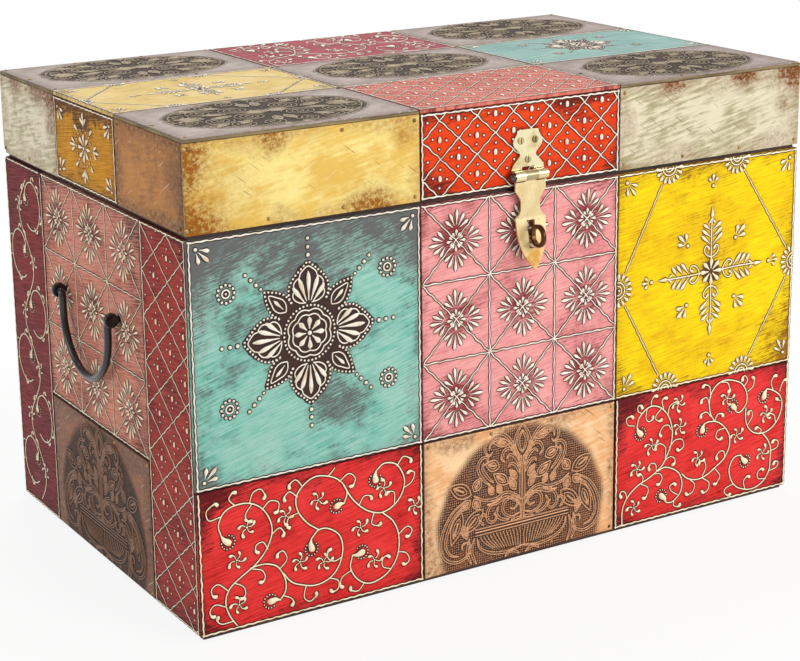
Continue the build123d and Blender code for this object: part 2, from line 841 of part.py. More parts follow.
front_board = body_wall(core_left, core_right, core_front, inner_front)
back_board = body_wall(core_left, core_right, inner_back, back)
back_board = cut(back_board, [back_bevel(-1)] + hinge_mortises(False))
left_board = body_wall(core_left, inner_left, inner_front, inner_back)
right_board = body_wall(inner_right, core_right, inner_front, inner_back)

lid_front_rail = lid_rail(core_left, core_right, core_front, inner_front)
lid_back_rail = lid_rail(core_left, core_right, inner_back, back)
lid_back_rail = cut(lid_back_rail, [back_bevel(1)] + hinge_mortises(True))
lid_left_rail = lid_rail(core_left, inner_left, inner_front, inner_back)
lid_right_rail = lid_rail(inner_right, core_right, inner_front, inner_back)
lid_top_board = cut(
    block(core_left, core_right, core_front, back, lid_rail_top, core_top), lid_holes
)

front_pink_panel = front_pink_panel - staple_hole
left_flower_panel = cut(left_flower_panel, left_eye_holes)
right_flower_panel = cut(right_flower_panel, right_eye_holes)
left_vine_panel = left_vine_panel - back_bevel(-1)
right_vine_panel = right_vine_panel - back_bevel(-1)
lid_front_lattice_panel = cut(lid_front_lattice_panel, hasp_screw_holes)
lid_left_white_metal_sheet = lid_left_white_metal_sheet - back_bevel(1)
lid_right_white_metal_sheet = lid_right_white_metal_sheet - back_bevel(1)

body_backings = body_front.backings + body_left.backings + body_right.backings
body_tacks = body_front.tacks + body_left.tacks + body_right.tacks
lid_backings = lid_front.backings + lid_left.backings + lid_right.backings + lid_top.backings
lid_backings = [cut(backing, [back_bevel(1)]) for backing in lid_backings]
lid_tacks = lid_front.tacks + lid_left.tacks + lid_right.tacks + lid_top.tacks

# ---------------------------------------------------------------- nodes
nodes = {
    "front_board": front_board,
    "back_board": back_board,
    "left_board": left_board,
    "right_board": right_board,
    "bottom_board": bottom_board,
    "front_turquoise_panel": front_turquoise_panel,
    "front_pink_panel": front_pink_panel,
    "front_yellow_panel": front_yellow_panel,
    "front_left_red_panel": front_left_red_panel,
    "front_copper_sheet": front_copper_sheet,
    "front_right_red_panel": front_right_red_panel,
    "left_lattice_panel": left_lattice_panel,
    "left_flower_panel": left_flower_panel,
    "left_copper_sheet": left_copper_sheet,
    "left_vine_panel": left_vine_panel,
    "right_lattice_panel": right_lattice_panel,
    "right_flower_panel": right_flower_panel,
    "right_copper_sheet": right_copper_sheet,
    "right_vine_panel": right_vine_panel,
    "body_sheet_backings": group(body_backings),
    "body_sheet_tacks": group(body_tacks),
    "staple_eye": staple_eye,
    "handle_left": handle_left,
    "handle_right": handle_right,
    "handle_eyes": group(handle_eyes),
    "hinge_body_leaves": group(hinge_body_leaves),
    "hinge_body_screws": group(hinge_screws(False)),
    "hinge_pins": group(hinge_pins),
    "hinge_lid_leaves": group(hinge_lid_leaves),
    "hinge_lid_screws": group(hinge_screws(True)),
    "lid_top_board": lid_top_board,
    "lid_front_rail": lid_front_rail,
    "lid_back_rail": lid_back_rail,
    "lid_left_rail": lid_left_rail,
    "lid_right_rail": lid_right_rail,
    "lid_front_brass_sheet": lid_front_brass_sheet,
    "lid_front_lattice_panel": lid_front_lattice_panel,
    "lid_front_white_metal_sheet": lid_front_white_metal_sheet,
    "lid_left_brass_sheet": lid_left_brass_sheet,
    "lid_left_ochre_panel": lid_left_ochre_panel,
    "lid_left_white_metal_sheet": lid_left_white_metal_sheet,
    "lid_right_brass_sheet": lid_right_brass_sheet,
    "lid_right_ochre_panel": lid_right_ochre_panel,
    "lid_right_white_metal_sheet": lid_right_white_metal_sheet,
    "lid_top_front_left_sheet": lid_top_front_left_sheet,
    "lid_top_coral_panel": lid_top_coral_panel,
    "lid_top_front_right_sheet": lid_top_front_right_sheet,
    "lid_top_pale_yellow_panel": lid_top_pale_yellow_panel,
    "lid_top_centre_sheet": lid_top_centre_sheet,
    "lid_top_pale_turquoise_panel": lid_top_pale_turquoise_panel,
    "lid_top_back_left_sheet": lid_top_back_left_sheet,
    "lid_top_rose_panel": lid_top_rose_panel,
    "lid_top_back_right_sheet": lid_top_back_right_sheet,
    "lid_sheet_backings": group(lid_backings),
    "lid_sheet_tacks": group(lid_tacks),
    "hasp_plate": hasp_plate,
    "hasp_screws": group(hasp_screws),
    "hasp_strap": hasp_strap,
    "hasp_pin": hasp_pin,
}

os.makedirs("parts", exist_ok=True)
for name, shape in nodes.items():
    export_step(shape, f"parts/{name}.step")
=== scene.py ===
"""Looks of a damchiya: a box-lidded wooden chest faced with hand-painted tiles and embossed metal sheets.

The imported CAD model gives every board, tile, sheet and fitting its size and place. This file adds
the paste-work that stands on the painted tiles, the chased sheets, and the finish of each surface.
Sizes are in millimetres, unless a name says otherwise, and become metres when a mesh is made.
"""

from __future__ import annotations

import logging
import math
from collections.abc import Callable, Sequence
from dataclasses import dataclass, field
from enum import Enum
from functools import partial

import bpy
import numpy as np
from mathutils import Matrix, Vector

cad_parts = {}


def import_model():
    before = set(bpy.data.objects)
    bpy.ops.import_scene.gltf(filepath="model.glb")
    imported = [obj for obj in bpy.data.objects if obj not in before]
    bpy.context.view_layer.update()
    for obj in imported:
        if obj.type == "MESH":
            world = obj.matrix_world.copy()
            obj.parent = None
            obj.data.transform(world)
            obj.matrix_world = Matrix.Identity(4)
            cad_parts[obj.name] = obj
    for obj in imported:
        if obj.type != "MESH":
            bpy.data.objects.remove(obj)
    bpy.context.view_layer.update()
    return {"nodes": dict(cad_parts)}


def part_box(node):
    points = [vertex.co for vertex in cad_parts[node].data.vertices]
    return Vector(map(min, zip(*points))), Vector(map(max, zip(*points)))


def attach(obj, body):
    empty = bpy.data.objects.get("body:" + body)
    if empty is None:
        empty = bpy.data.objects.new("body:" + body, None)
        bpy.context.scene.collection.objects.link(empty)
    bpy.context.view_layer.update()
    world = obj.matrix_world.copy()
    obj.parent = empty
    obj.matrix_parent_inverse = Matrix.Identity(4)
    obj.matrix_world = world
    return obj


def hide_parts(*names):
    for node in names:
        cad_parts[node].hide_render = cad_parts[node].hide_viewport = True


MM = 0.001
# Half the chest's width and depth over its facings, and its height.
HALF_WIDTH, HALF_DEPTH, HEIGHT = 305, 190, 406
LOG = logging.getLogger("damchiya")
Array = np.ndarray
Colour = tuple[float, float, float, float]
Pair = tuple[float, float]
Material = bpy.types.Material


# ---- faces and tiles


class Face(Enum):
    """The four faces of the chest that carry tiles: origin, u axis, v axis and outward axis."""

    FRONT = ((0, -HALF_DEPTH, 0), (1, 0, 0), (0, 0, 1), (0, -1, 0))
    LEFT = ((-HALF_WIDTH, 0, 0), (0, -1, 0), (0, 0, 1), (-1, 0, 0))
    RIGHT = ((HALF_WIDTH, 0, 0), (0, 1, 0), (0, 0, 1), (1, 0, 0))
    TOP = ((0, 0, HEIGHT), (1, 0, 0), (0, 1, 0), (0, 0, 1))

    def to_space(self, points: Array) -> Array:
        """Turns rows of (u, v, height) on this face into rows of (x, y, z)."""
        origin, *axes = (np.array(row, float) for row in self.value)
        return origin + points @ np.stack(axes)

    def from_space(self, points: Array) -> Array:
        """Turns rows of (x, y, z) into rows of (u, v, height) on this face."""
        origin, *axes = (np.array(row, float) for row in self.value)
        return (points - origin) @ np.stack(axes).T


class Side(Enum):
    """The sides of a tile, which a border may follow."""

    LEFT = "left"
    RIGHT = "right"
    TOP = "top"
    BOTTOM = "bottom"


@dataclass(frozen=True)
class Tile:
    """One tile of the facing, with the edges of its shown side on its face.

    u0, u1, v0 and v1 are its sides, and level is how far its surface stands outwards.
    """

    node: str
    face: Face
    body: str
    slot: str
    u0: float
    u1: float
    v0: float
    v1: float
    level: float

    @staticmethod
    def of(node: str, face: Face, body: str, slot: str) -> Tile:
        """Reads a tile's place from the CAD node that carries it.

        Args:
            node: the CAD node.
            face: the face it lies on.
            body: the body it moves with.
            slot: the record's material slot of what stands on it.

        Returns:
            The tile.
        """
        low, high = (np.array(corner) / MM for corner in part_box(node))
        ends = face.from_space(np.stack([low, high]))
        (u0, v0, _), (u1, v1, level) = ends.min(axis=0), ends.max(axis=0)
        return Tile(node, face, body, slot, u0, u1, v0, v1, level)

    @property
    def width(self) -> float:
        """The tile's length along u."""
        return self.u1 - self.u0

    @property
    def height(self) -> float:
        """The tile's length along v."""
        return self.v1 - self.v0


# ---- meshes


def make_piece(name: str, points: Array, faces: Sequence[Array], looks: Material,
               body: str, marks: dict[str, Array] | None = None) -> bpy.types.Object:
    """Makes one smooth-shaded piece that rides on a CAD body.

    Args:
        name: the piece's name.
        points: (n, 3) places in millimetres.
        faces: arrays of vertex numbers, each (m, corners), one array for each count of corners.
        looks: its material.
        body: the CAD body it moves with.
        marks: named values, one for each vertex, that its material reads.

    Returns:
        The new object, at the origin.
    """
    mesh = bpy.data.meshes.new(name)
    mesh.vertices.add(len(points))
    mesh.vertices.foreach_set("co", (points * MM).astype(np.float32).ravel())
    counts = np.concatenate([np.full(len(part), part.shape[1]) for part in faces])
    loops = np.concatenate([part.ravel() for part in faces])
    mesh.loops.add(len(loops))
    mesh.loops.foreach_set("vertex_index", loops.astype(np.int32))
    mesh.polygons.add(len(counts))
    starts = np.concatenate([[0], np.cumsum(counts)[:-1]])
    mesh.polygons.foreach_set("loop_start", starts.astype(np.int32))
    mesh.polygons.foreach_set("use_smooth", np.ones(len(counts), bool))
    for mark, values in (marks or {}).items():
        layer = mesh.attributes.new(mark, "FLOAT", "POINT")
        layer.data.foreach_set("value", values.astype(np.float32).ravel())
    mesh.update(calc_edges=True)
    mesh.materials.append(looks)
    piece = bpy.data.objects.new(name, mesh)
    bpy.context.scene.collection.objects.link(piece)
    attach(piece, body)
    LOG.info("%s: %d faces on %s", name, len(counts), body)
    return piece


def grid_faces(rows: int, columns: int, closed: bool = False) -> Array:
    """Numbers the four-sided faces of a grid.

    Args:
        rows: points along the first direction.
        columns: points along the second direction.
        closed: whether the last column joins the first one.

    Returns:
        (faces, 4) vertex numbers.
    """
    i, j = np.meshgrid(np.arange(rows - 1), np.arange(columns - (not closed)), indexing="ij")
    right = (j + 1) % columns
    corners = np.stack([i * columns + j, (i + 1) * columns + j,
                        (i + 1) * columns + right, i * columns + right], axis=-1)
    return corners.reshape(-1, 4)


# ---- drawing


def smooth_path(points: Sequence[Pair] | Array, step: float) -> Array:
    """A Catmull-Rom curve through the points, read at even steps of its own length.

    Between two points the curve is the cubic whose tangents are half the chord that joins the
    neighbours. Its length is summed from short chords, and the places are read off that sum.

    Args:
        points: (n, 2) points to pass through.
        step: distance between the points that come back.

    Returns:
        (m, 2) points.
    """
    path = np.asarray(points, float)
    padded = np.concatenate([[2 * path[0] - path[1]], path, [2 * path[-1] - path[-2]]])
    before, start, end, after = padded[:-3], padded[1:-2], padded[2:-1], padded[3:]
    t = np.linspace(0, 1, 12, endpoint=False)[None, :, None]
    a, b, c, d = (row[:, None, :] for row in (before, start, end, after))
    curve = 0.5 * (2 * b + (c - a) * t + (2 * a - 5 * b + 4 * c - d) * t**2
                   + (3 * b - a - 3 * c + d) * t**3)
    curve = np.concatenate([curve.reshape(-1, 2), path[-1:]])
    return even_path(curve, step)


def even_path(curve: Array, step: float) -> Array:
    """Reads a chain of chords at even steps of its length.

    Args:
        curve: (n, 2) points.
        step: distance between the points that come back.

    Returns:
        (m, 2) points.
    """
    along = np.concatenate([[0], np.cumsum(np.linalg.norm(np.diff(curve, axis=0), axis=1))])
    count = max(int(round(along[-1] / step)), 2) + 1
    wanted = np.linspace(0, along[-1], count)
    return np.stack([np.interp(wanted, along, curve[:, k]) for k in (0, 1)], axis=1)


def round_path(reach: Array | float, way: Array) -> Array:
    """Rows of (u, v) at a reach from (0, 0), one for each angle in radians."""
    return np.stack([reach * np.cos(way), reach * np.sin(way)], axis=1)


def polar(reach: float, turn: float) -> Pair:
    """The place at a reach from (0, 0), by its angle from u in degrees."""
    return reach * math.cos(math.radians(turn)), reach * math.sin(math.radians(turn))


@dataclass
class Drawing:
    """Paste-work or chasing as it is drawn: lines with a half-width at every point, dots and dark films.

    A film is a closed outline that every point can be seen from its first row, its middle.
    """

    lines: list[tuple[Array, Array]] = field(default_factory=list)
    dots: list[tuple[float, float, float]] = field(default_factory=list)
    films: list[Array] = field(default_factory=list)

    def line(self, points: Sequence[Pair] | Array, half: float, bulb: float = 0,
             step: float = 1.6) -> Drawing:
        """Adds a smooth line, which may end in a round bulb.

        The half-width is even, and with a bulb it grows over the last part as
        half + (bulb - half) times the sine of a half turn that ends at the tip.

        Args:
            points: the places it passes.
            half: its half-width.
            bulb: the half-width of the bulb at its end, or 0.
            step: distance between its own points.

        Returns:
            This drawing.
        """
        path = smooth_path(points, step)
        widths = np.full(len(path), half)
        if bulb:
            from_tip = np.linalg.norm(path - path[-1], axis=1)
            near = np.clip(1 - from_tip / (2.2 * bulb), 0, 1)
            near[: len(path) // 2] = 0
            widths += (bulb - half) * np.sin(near * np.pi / 2)
        self.lines.append((path, widths))
        return self

    def wave(self, start: Pair, end: Pair, half: float,
             period: float = 11, swing: float = 0.3) -> Drawing:
        """Adds a hand-drawn line that wavers.

        It is a straight line moved sideways by a sine of its length, whose phase drifts slowly so
        that no two waves are alike. Its width swells by two slower sines.

        Args:
            start: where it starts.
            end: where it ends.
            half: its half-width.
            period: the length of a wave.
            swing: how far it moves sideways.

        Returns:
            This drawing.
        """
        a, b = np.array(start, float), np.array(end, float)
        length = float(np.linalg.norm(b - a))
        along = np.linspace(0, length, max(int(length / 1.25), 2) + 1)
        seed = (a @ (1.3, 2.1) + b @ (0.7, 1.9)) % 6.28
        phase = seed + 0.9 * np.sin(along / 23 + seed)
        side = swing * (np.sin(2 * np.pi * along / period + phase) + 0.35 * np.sin(along / 2.1 + seed))
        unit = (b - a) / length
        path = a + along[:, None] * unit + side[:, None] * np.array([-unit[1], unit[0]])
        self.lines.append((path, half * (1 + 0.16 * np.sin(along / 1.9 + seed) + 0.14 * np.sin(along / 5.3))))
        return self

    def drop(self, x: float, y: float, turn: float, length: float, half: float) -> Drawing:
        """Adds a drop of paste: its half-width is a sine of the length, pushed towards the far end.

        Args:
            x, y: where it starts.
            turn: the way it points, in degrees from u.
            length: its length.
            half: its largest half-width.

        Returns:
            This drawing.
        """
        t = np.array([0, 0.24, 0.48, 0.68, 0.82, 0.93, 1])
        path = np.array([x, y]) + length * t[:, None] * np.array(polar(1, turn))
        self.lines.append((path, half * np.sin(np.pi * (0.04 + 0.9 * t**2.1)) ** 0.8))
        return self

    def fan(self, x: float, y: float, turn: float, count: int, spread: float, inner: float,
            outer: float, half: float) -> Drawing:
        """Adds drops that spread like a fan round (x, y), the middle one longest.

        Args:
            x, y: the fan's root.
            turn: the way it points, in degrees from u.
            count: how many drops it has.
            spread: the angle between the first and the last.
            inner: the reach at which they start.
            outer: the reach of the middle one.
            half: their half-width.

        Returns:
            This drawing.
        """
        for k in range(count):
            away = (k / max(count - 1, 1) - 0.5) * spread
            reach = outer - (outer - inner) * 0.28 * abs(2 * away / spread if spread else 0)
            u, v = polar(inner, turn + away)
            self.drop(x + u, y + v, turn + 0.8 * away, reach - inner, half)
        return self

    def dot(self, x: float, y: float, radius: float) -> Drawing:
        """Adds one dot."""
        self.dots.append((x, y, radius))
        return self

    def ring(self, x: float, y: float, radius: float, half: float, lobes: int = 0,
             depth: float = 0) -> Drawing:
        """Adds a closed ring, whose radius may swell into lobes as |sin| of half the lobes' angle.

        Args:
            x, y: its middle.
            radius: its least radius.
            half: its half-width.
            lobes: how many lobes it has.
            depth: how far a lobe swells.

        Returns:
            This drawing.
        """
        steps = max(int(2 * np.pi * radius / 1.4), 14)
        angle = np.linspace(0, 2 * np.pi, steps + 1)
        path = round_path(radius + depth * np.abs(np.sin(lobes * angle / 2)), angle) + (x, y)
        self.lines.append((path, np.full(len(path), half)))
        return self

    def dotted(self, points: Array, spacing: float, radius: float) -> Drawing:
        """Adds dots along a line.

        Args:
            points: the places that the line passes.
            spacing: distance between the dots.
            radius: their radius.

        Returns:
            This drawing.
        """
        for u, v in smooth_path(points, spacing):
            self.dot(float(u), float(v), radius)
        return self

    def dotted_ring(self, x: float, y: float, reach: float, count: int, radius: float,
                    start: float = 0, sweep: float = 360) -> Drawing:
        """Adds dots round (x, y).

        Args:
            x, y: the middle.
            reach: the distance from the middle to the dots.
            count: how many there are.
            radius: their radius.
            start: where the first one lies, in degrees from u.
            sweep: the angle that they fill.

        Returns:
            This drawing.
        """
        for angle in np.radians(start + np.arange(count) * sweep / count):
            self.dot(x + reach * math.cos(angle), y + reach * math.sin(angle), radius)
        return self

    def put(self, other: Drawing, x: float = 0, y: float = 0, scale: float | Pair = 1,
            turn: float = 0) -> Drawing:
        """Adds another drawing, scaled, then turned, then moved.

        Args:
            other: the drawing to add.
            x, y: where its (0, 0) comes.
            scale: its scale, or the two along u and v.
            turn: its turn in degrees.

        Returns:
            This drawing.
        """
        factors = np.array(scale if isinstance(scale, tuple) else (scale, scale), float)
        size = float(np.sqrt(abs(factors.prod())))
        cos, sin = math.cos(math.radians(turn)), math.sin(math.radians(turn))
        spin = np.array([[cos, sin], [-sin, cos]])
        for path, widths in other.lines:
            self.lines.append(((path * factors) @ spin + (x, y), widths * size))
        for u, v, radius in other.dots:
            place = (np.array([u, v]) * factors) @ spin + (x, y)
            self.dots.append((float(place[0]), float(place[1]), radius * size))
        self.films += [(film * factors) @ spin + (x, y) for film in other.films]
        return self

    def thinned(self, share: float) -> Drawing:
        """This drawing with every width and radius times a share, on the same paths."""
        return Drawing([(path, share * widths) for path, widths in self.lines],
                       [(u, v, share * radius) for u, v, radius in self.dots], self.films)

    def inside(self, width: float, height: float, margin: float) -> Drawing:
        """Leaves out whatever passes a tile's edge.

        Args:
            width, height: the tile's size.
            margin: how far inside the edge the drawing ends.

        Returns:
            What is left.
        """
        kept = Drawing(films=self.films)
        for path, widths in self.lines:
            away = ((path < margin) | (path > np.array([width, height]) - margin)).any(axis=1)
            if not away.any():
                kept.lines.append((path, widths))
                continue
            runs = np.split(np.arange(len(path)), np.flatnonzero(np.diff(away.astype(int))) + 1)
            kept.lines += [(path[run], widths[run]) for run in runs if not away[run[0]] and len(run) > 2]
        kept.dots = [d for d in self.dots
                     if margin < d[0] < width - margin and margin < d[1] < height - margin]
        return kept


@dataclass(frozen=True)
class Paste:
    """Cone-piped paste, squeezed on in ridges: half-round in section, with a thin dark skirt that paints wax and
    shade round its edge.
    """

    skirt: float = 0.75
    rise: float = 0.7
    dot_sides: int = 8

    def bead(self, path: Array, widths: Array) -> tuple[Array, Array, Array, Array]:
        """Carries the ridge's section along a path.

        Across the path the section is (side, height): out at the skirt on the panel, in at the
        half-width, up as a half ellipse, and down again. Two rings at each end shrink to a point.

        Args:
            path: (n, 2) points.
            widths: (n,) half-widths.

        Returns:
            The points, the four-sided faces, the two end faces and the mark that is 1 on the ridge.
        """
        chord = np.gradient(path, axis=0)
        way = chord / np.maximum(np.linalg.norm(chord, axis=1, keepdims=True), 1e-9)
        caps = [(-1.0, 0.02), (-0.6, 0.8)]
        head = [(path[0] + k * widths[0] * way[0], way[0], widths[0] * size) for k, size in caps]
        tail = [(path[-1] - k * widths[-1] * way[-1], way[-1], widths[-1] * size)
                for k, size in reversed(caps)]
        places = np.array([p for p, _, _ in head] + list(path) + [p for p, _, _ in tail])
        ways = np.array([w for _, w, _ in head] + list(way) + [w for _, w, _ in tail])
        halves = np.array([r for _, _, r in head] + list(widths) + [r for _, _, r in tail])
        shrink = np.minimum(halves / max(widths.max(), 1e-6) * 3, 1)
        # The outer rings of the section are the skirt, whose dark colour paints wax and the shade at the bead's
        # edge.
        sides = np.stack([-halves - self.skirt * shrink, -halves, -0.72 * halves, 0 * halves,
                          0.72 * halves, halves, halves + self.skirt * shrink], axis=1)
        wax_and_shade_foot, edge = np.full(len(halves), 0.03), np.full(len(halves), 0.08)
        side, crown = (np.maximum(share * self.rise * halves, 0.1) for share in (0.86, 1.23))
        tops = np.stack([wax_and_shade_foot, edge, side, crown, side, edge, wax_and_shade_foot], axis=1)
        across = np.stack([-ways[:, 1], ways[:, 0]], axis=1)
        flat = places[:, None, :] + sides[:, :, None] * across[:, None, :]
        points = np.concatenate([flat, tops[:, :, None]], axis=2).reshape(-1, 3)
        rows, ring = sides.shape
        ends = np.stack([np.arange(ring), (rows - 1) * ring + np.arange(ring)[::-1]])
        mark = np.tile([0, 0.2, 1, 1, 1, 0.2, 0], rows)
        return points, grid_faces(rows, ring, closed=True), ends, mark

    def domes(self, dots: Array) -> tuple[Array, Array, Array, Array]:
        """Raises each dot as rings of a low dome: (reach, height) from the skirt in to the crown.

        Args:
            dots: (n, 3) rows of u, v and radius.

        Returns:
            The points, the four-sided faces, the flat faces and the mark that is 1 on the dome.
        """
        angle = np.arange(self.dot_sides) * 2 * np.pi / self.dot_sides
        radius = dots[:, 2:3]
        reach = np.stack([radius + self.skirt, radius, 0.7 * radius, 0.1 * radius], axis=1)
        height = np.stack([0 * radius + 0.03, 0 * radius + 0.08, 0.5 * radius, 0.72 * radius], axis=1)
        circle = np.stack([np.cos(angle), np.sin(angle)], axis=1)
        flat = dots[:, None, None, :2] + reach[..., None] * circle[None, None]
        points = np.concatenate([flat, np.broadcast_to(height[..., None], flat.shape[:3] + (1,))], axis=3)
        per_dot = 4 * self.dot_sides
        starts = np.arange(len(dots))[:, None, None] * per_dot
        walls = (grid_faces(4, self.dot_sides, closed=True)[None, :, ::-1] + starts).reshape(-1, 4)
        crown = np.arange(self.dot_sides) + 3 * self.dot_sides
        floor = np.arange(self.dot_sides)[::-1]
        lids = (np.stack([crown, floor])[None] + starts).reshape(-1, self.dot_sides)
        mark = np.tile(np.repeat([0, 0.2, 1, 1], self.dot_sides), len(dots))
        return points.reshape(-1, 3), walls, lids, mark

    def squeeze(self, name: str, tile: Tile, drawing: Drawing, looks: Material) -> None:
        """Builds the whole drawing as one piece on a tile.

        Args:
            name: the piece's name.
            tile: the tile that carries it.
            drawing: what is drawn, in millimetres from the tile's lower left corner.
            looks: the paste's material.
        """
        points, quads, ends, marks, total = [], [], [], [], 0
        for path, widths in drawing.lines:
            part, sides, caps, mark = self.bead(path, widths)
            points.append(part)
            quads.append(sides + total)
            ends.append(caps + total)
            marks.append(mark)
            total += len(part)
        faces = [np.concatenate(quads), np.concatenate(ends)]
        if drawing.dots:
            part, sides, caps, mark = self.domes(np.array(drawing.dots))
            points.append(part)
            faces += [sides + total, caps + total]
            marks.append(mark)
            total += len(part)
        for film in drawing.films:
            corner = np.arange(1, len(film))
            points.append(np.column_stack([film, np.full(len(film), 0.03)]))
            faces.append(np.stack([0 * corner, corner, np.roll(corner, -1)], axis=1) + total)
            marks.append(np.zeros(len(film)))
            total += len(film)
        flat = np.concatenate(points) + (tile.u0, tile.v0, tile.level)
        make_piece(name, tile.face.to_space(flat), faces, looks, tile.body,
                   {"ridge": np.concatenate(marks)})


# ---- painted motifs


def mirrored(points: Sequence[Pair]) -> list[Pair]:
    """A closed outline from its upper half, which runs from the root to the tip along u."""
    return [*points, *[(u, -v) for u, v in reversed(points[:-1])]]


def sprig(reach: float = 14, half: float = 1.9) -> Drawing:
    """Three drops and a dot, pointing along u."""
    return Drawing().fan(0, 0, 0, 3, 84, 3.2, reach, half).dot(-1, 0, 1.7)


def palmette() -> Drawing:
    """Draws one of the mandala's four leaves along u: a lobed outline, five fanned drops and rows of dots.

    Returns:
        The drawing.
    """
    edge = [(25, 3), (25.6, 8), (28.4, 12.6), (32, 14.2), (35, 13.2), (36.6, 11.6), (39.4, 13.4), (42.8, 12.4),
            (45, 9.8), (45.8, 8), (49, 7.2), (52, 4.2), (54.5, 0)]
    drawing = Drawing().line(mirrored(edge), 0.58)
    drawing.fan(22, 0, 0, 5, 96, 5, 28, 2.1)
    outer = [(27, 16), (33, 17.8), (40, 17.2), (46, 13.6), (50, 9.6), (54, 5), (58, 0)]
    drawing.dotted(np.array(mirrored(outer)), 3.3, 1.08)
    for reach, radius in ((63.5, 1.9), (70, 1.75), (77, 1.6)):
        drawing.dot(reach, 0, radius)
    return drawing


def diagonal_leaf() -> Drawing:
    """Draws one of the mandala's four pointed leaves along u, with a drop in it and a ray of dots.

    Returns:
        The drawing.
    """
    drawing = Drawing().line(mirrored([(29, 0.4), (33, 4.2), (38, 5.2), (43, 3.6), (50, 0)]), 0.55)
    drawing.drop(32.5, 0, 0, 11, 1.5)
    outer = [(30, 8), (38, 9), (45, 6.8), (51, 3), (55, 0)]
    drawing.dotted(np.array(mirrored(outer)), 3.4, 1.05)
    for reach, radius in ((59.5, 1.3), (65, 1.7), (71.5, 1.75), (78, 1.55)):
        drawing.dot(reach, 0, radius)
    return drawing


def star_film() -> Array:
    """The dark ground under the mandala: a star whose edge runs just past the dotted outlines.

    The reach is read off a table of one eighth of a turn, and is made ragged by three sines.

    Returns:
        (n, 2) points, of which the first is the middle.
    """
    way = np.arange(0, 2 * np.pi, 0.03)
    folded = np.degrees(np.abs((way + np.pi / 4) % (np.pi / 2) - np.pi / 4))
    reach = np.interp(folded, (0, 5, 10, 16, 22, 26, 29, 32, 36, 41, 45),
                      (60, 57, 54, 50, 44, 37.5, 34.5, 40, 47, 53.5, 57.5))
    reach += 0.5 * np.sin(23 * way) + 0.4 * np.sin(41 * way) + 0.3 * np.sin(67 * way)
    return np.concatenate([[[0, 0]], round_path(reach, way)])


def mandala() -> Drawing:
    """Draws a flower of petals, lobed rings, four palmettes and four leaves, round its own centre.

    Returns:
        The drawing.
    """
    drawing = Drawing(films=[star_film()]).dot(0, 0, 2.1)
    for turn in range(0, 360, 45):
        drawing.drop(*polar(3.6, turn), turn, 9.2, 2.35)
    drawing.ring(0, 0, 14.2, 0.6, 8, 1.7).ring(0, 0, 18.0, 0.62, 8, 2.1)
    drawing.dotted_ring(0, 0, 22.6, 42, 1.05)
    for k in range(4):
        drawing.put(palmette(), turn=90 * k).put(diagonal_leaf(), turn=90 * k + 45)
    return drawing


def dotted_rosette() -> Drawing:
    """A small ring with a dot in it and a circle of dots round it."""
    return Drawing().dot(0, 0, 1.1).ring(0, 0, 3.3, 0.72).dotted_ring(0, 0, 7.2, 12, 1.3)


def corner_sprigs(drawing: Drawing, width: float, height: float, inset: float, scale: float) -> Drawing:
    """Adds a sprig in each corner of a tile, which points to the middle.

    Args:
        drawing: the tile's drawing.
        width, height: the tile's size.
        inset: how far a sprig's root lies from both sides.
        scale: its scale.

    Returns:
        The same drawing.
    """
    corners = ((inset, inset), (width - inset, inset), (width - inset, height - inset), (inset, height - inset))
    for k, (x, y) in enumerate(corners):
        drawing.put(sprig(), x, y, scale, 45 + 90 * k)
    return drawing


def mandala_tile(width: float, height: float) -> Drawing:
    """Draws the mandala with four dotted rosettes and a sprig in each corner.

    Args:
        width, height: the tile's size.

    Returns:
        The drawing.
    """
    # The motifs' own sizes are for a tile of 207 by 200 mm.
    scale = min(width / 207, height / 200)
    middle = (0.5 * width, 0.56 * height)
    drawing = Drawing().put(mandala(), *middle, scale)
    for x, y in ((-72, 43), (72, 43), (-72, -50), (72, -50)):
        drawing.put(dotted_rosette(), middle[0] + x * scale, middle[1] + y * scale, scale)
    return corner_sprigs(drawing, width, height, 8, max(scale, 0.7))


def small_mandala_tile(width: float, height: float) -> Drawing:
    """Draws a little flower of eight petals in a dotted ring, with a sprig in each corner.

    Args:
        width, height: the tile's size.

    Returns:
        The drawing.
    """
    flower = Drawing().dot(0, 0, 1.8).dotted_ring(0, 0, 15.5, 16, 1.0)
    for turn in range(0, 360, 45):
        flower.drop(*polar(3, turn), turn, 9, 2.1).drop(*polar(18, turn), turn, 7, 1.9)
    for k in range(4):
        flower.put(Drawing().fan(18, 0, 0, 3, 84, 2, 12, 1.7), turn=90 * k + 90)
    # The flower's own size is for a tile 72 mm high.
    drawing = Drawing().put(flower, width / 2, height / 2, height / 72)
    return corner_sprigs(drawing, width, height, 9, 0.95)


def grid_flower_tile(width: float, height: float) -> Drawing:
    """Draws three by three squares with both diagonals, each with a flower of four fans and four trefoils.

    Args:
        width, height: the tile's size.

    Returns:
        The drawing.
    """
    drawing = Drawing()
    columns = np.linspace(0, width, 4)
    rows = np.linspace(0, height, 4)
    for k in (1, 2):
        drawing.wave((columns[k], 2), (columns[k], height - 2), 0.56)
        drawing.wave((2, rows[k]), (width - 2, rows[k]), 0.56)
    for i in range(3):
        for j in range(3):
            left, right, low, high = columns[i] + 1, columns[i + 1] - 1, rows[j] + 1, rows[j + 1] - 1
            drawing.wave((left, low), (right, high), 0.5).wave((left, high), (right, low), 0.5)
            flower = Drawing()
            for k in range(4):
                lean = 5 * math.sin(3 * i + 5 * j + 2 * k)
                petals = Drawing().fan(9.5, 0, 0, 5, 132, 3.8, 16.5, 1.5).fan(2.6, 0, 0, 3, 110, 1.6, 6.4, 1.4)
                flower.put(petals, turn=90 * k + lean)
            # The flower's own size is for a square of 66 mm.
            size = min(width / 3, height / 3) / 66
            drawing.put(flower, (left + right) / 2, (low + high) / 2, size)
    return drawing


